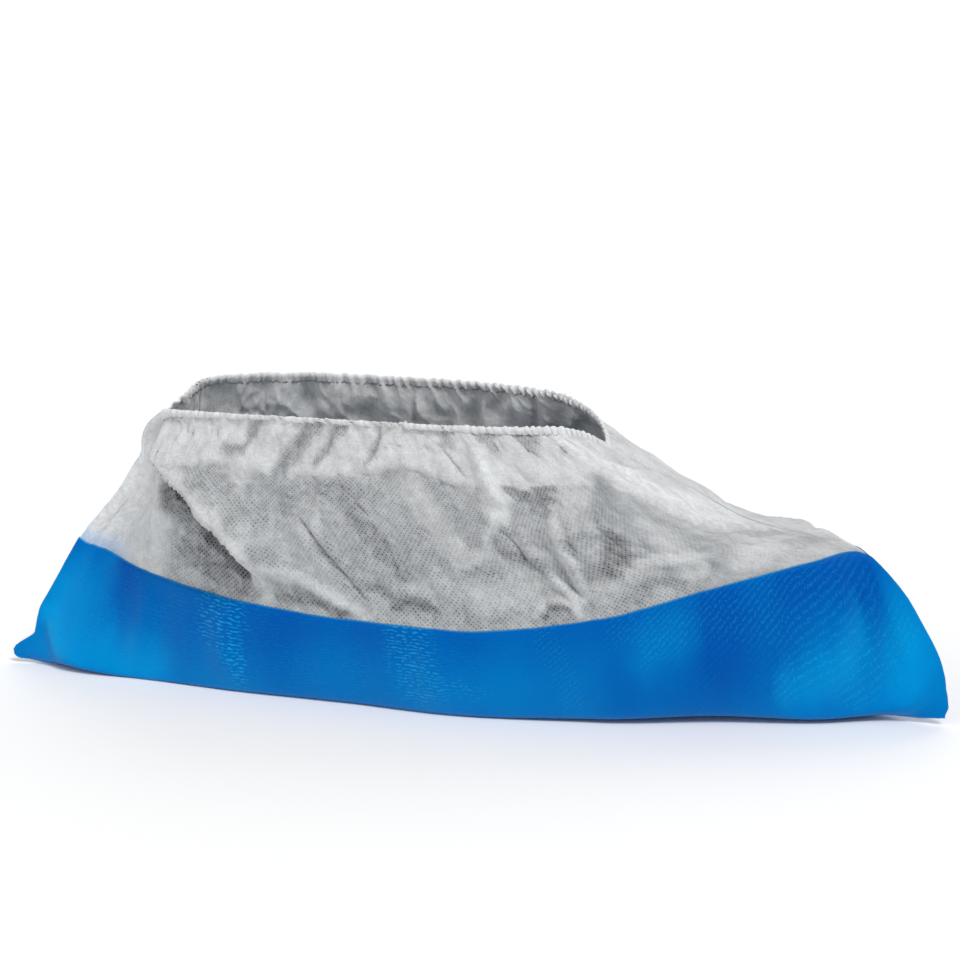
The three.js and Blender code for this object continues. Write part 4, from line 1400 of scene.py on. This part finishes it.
def hem_material():
    material, tree = new_material("hem")
    place = cloth_place(tree)[0]
    threads = cloudy(tree, place, 0.9, 3.0, 7.0, (1.0, 0.3))
    clouds = cloudy(tree, place, 6.0, 3.0, 2.0)
    thready = ranged(tree, threads, 0.3, 0.7, 0.92, 1.04)
    tone = plus(tree, thready, ranged(tree, clouds, 0.3, 0.7, -0.03, 0.03))
    # Painted shade between the beads.
    tone = minus(tree, tone, times(tree, tone_layer(tree, "bead_gap_shade"), 0.14))
    base = add(tree, "CombineXYZ", dict(enumerate(HEM_COLOUR))).outputs[0]
    colour = toned(tree, base, tone)
    bump = add(tree, "Bump", {"Height": threads, "Strength": 0.5, "Distance": 0.3 * MM})
    surface = add(tree, "BsdfPrincipled", {
        "Base Color": colour, "Roughness": 0.8, "Specular IOR Level": 0.25, "Sheen Weight": 0.2,
        "Normal": bump.outputs[0],
    })
    both = lets_through(tree, surface, 0.15, {"Color": colour})
    add(tree, "OutputMaterial", {0: both.outputs[0]})
    return material


# ---------------------------------------------------------------- the pieces

bag = make_bag(nonwoven_material())
film = make_film(film_material())
hem = make_hem(hem_material())

for piece, node, slot_name in (
    (bag, "nonwoven_bag", "nonwoven"), (film, "sole_film", "film"), (hem, "elastic_hem", "hem"),
):
    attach(piece, "root")
    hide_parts(node)

# ---------------------------------------------------------------- floor and lights


FLOOR_REACH = 9
WORLD_STRENGTH = 0.50
# name | place it shines from | strength | how many degrees wide it looks
LIGHTS = (
    ("key", (0.75, -0.85, 1.5), 1.7, 20),
    ("fill", (-1.3, -1.2, 0.9), 0.4, 50),
    ("back", (0.2, 1.3, 1.2), 0.6, 50),
)


def make_floor():
    material, tree = new_material("floor")
    surface = add(tree, "BsdfPrincipled", {"Base Color": (0.93, 0.93, 0.93, 1), "Roughness": 0.9})
    add(tree, "OutputMaterial", {0: surface.outputs[0]})
    mesh = bpy.data.meshes.new("floor")
    corners = [(FLOOR_REACH * x, FLOOR_REACH * y, 0) for x, y in ((-1, -1), (1, -1), (1, 1), (-1, 1))]
    mesh.from_pydata(corners, [], [(0, 1, 2, 3)])
    mesh.materials.append(material)
    floor = bpy.data.objects.new("floor", mesh)
    bpy.context.collection.objects.link(floor)


def soft_light(name, place, strength, spread):
    """A far, wide light that shines from place towards the middle."""
    data = bpy.data.lights.new(name, "SUN")
    data.energy = strength
    data.angle = math.radians(spread)
    light = bpy.data.objects.new(name, data)
    light.location = place
    light.rotation_euler = (-Vector(place)).to_track_quat("-Z", "Y").to_euler()
    bpy.context.collection.objects.link(light)


def make_lights():
    world = bpy.data.worlds.new("studio")
    world.use_nodes = True
    background = world.node_tree.nodes["Background"]
    background.inputs[0].default_value = (1, 1, 1, 1)
    background.inputs[1].default_value = WORLD_STRENGTH
    bpy.context.scene.world = world
    for light in LIGHTS:
        soft_light(*light)


make_floor()
make_lights()
bpy.context.scene.view_settings.view_transform = "Standard"
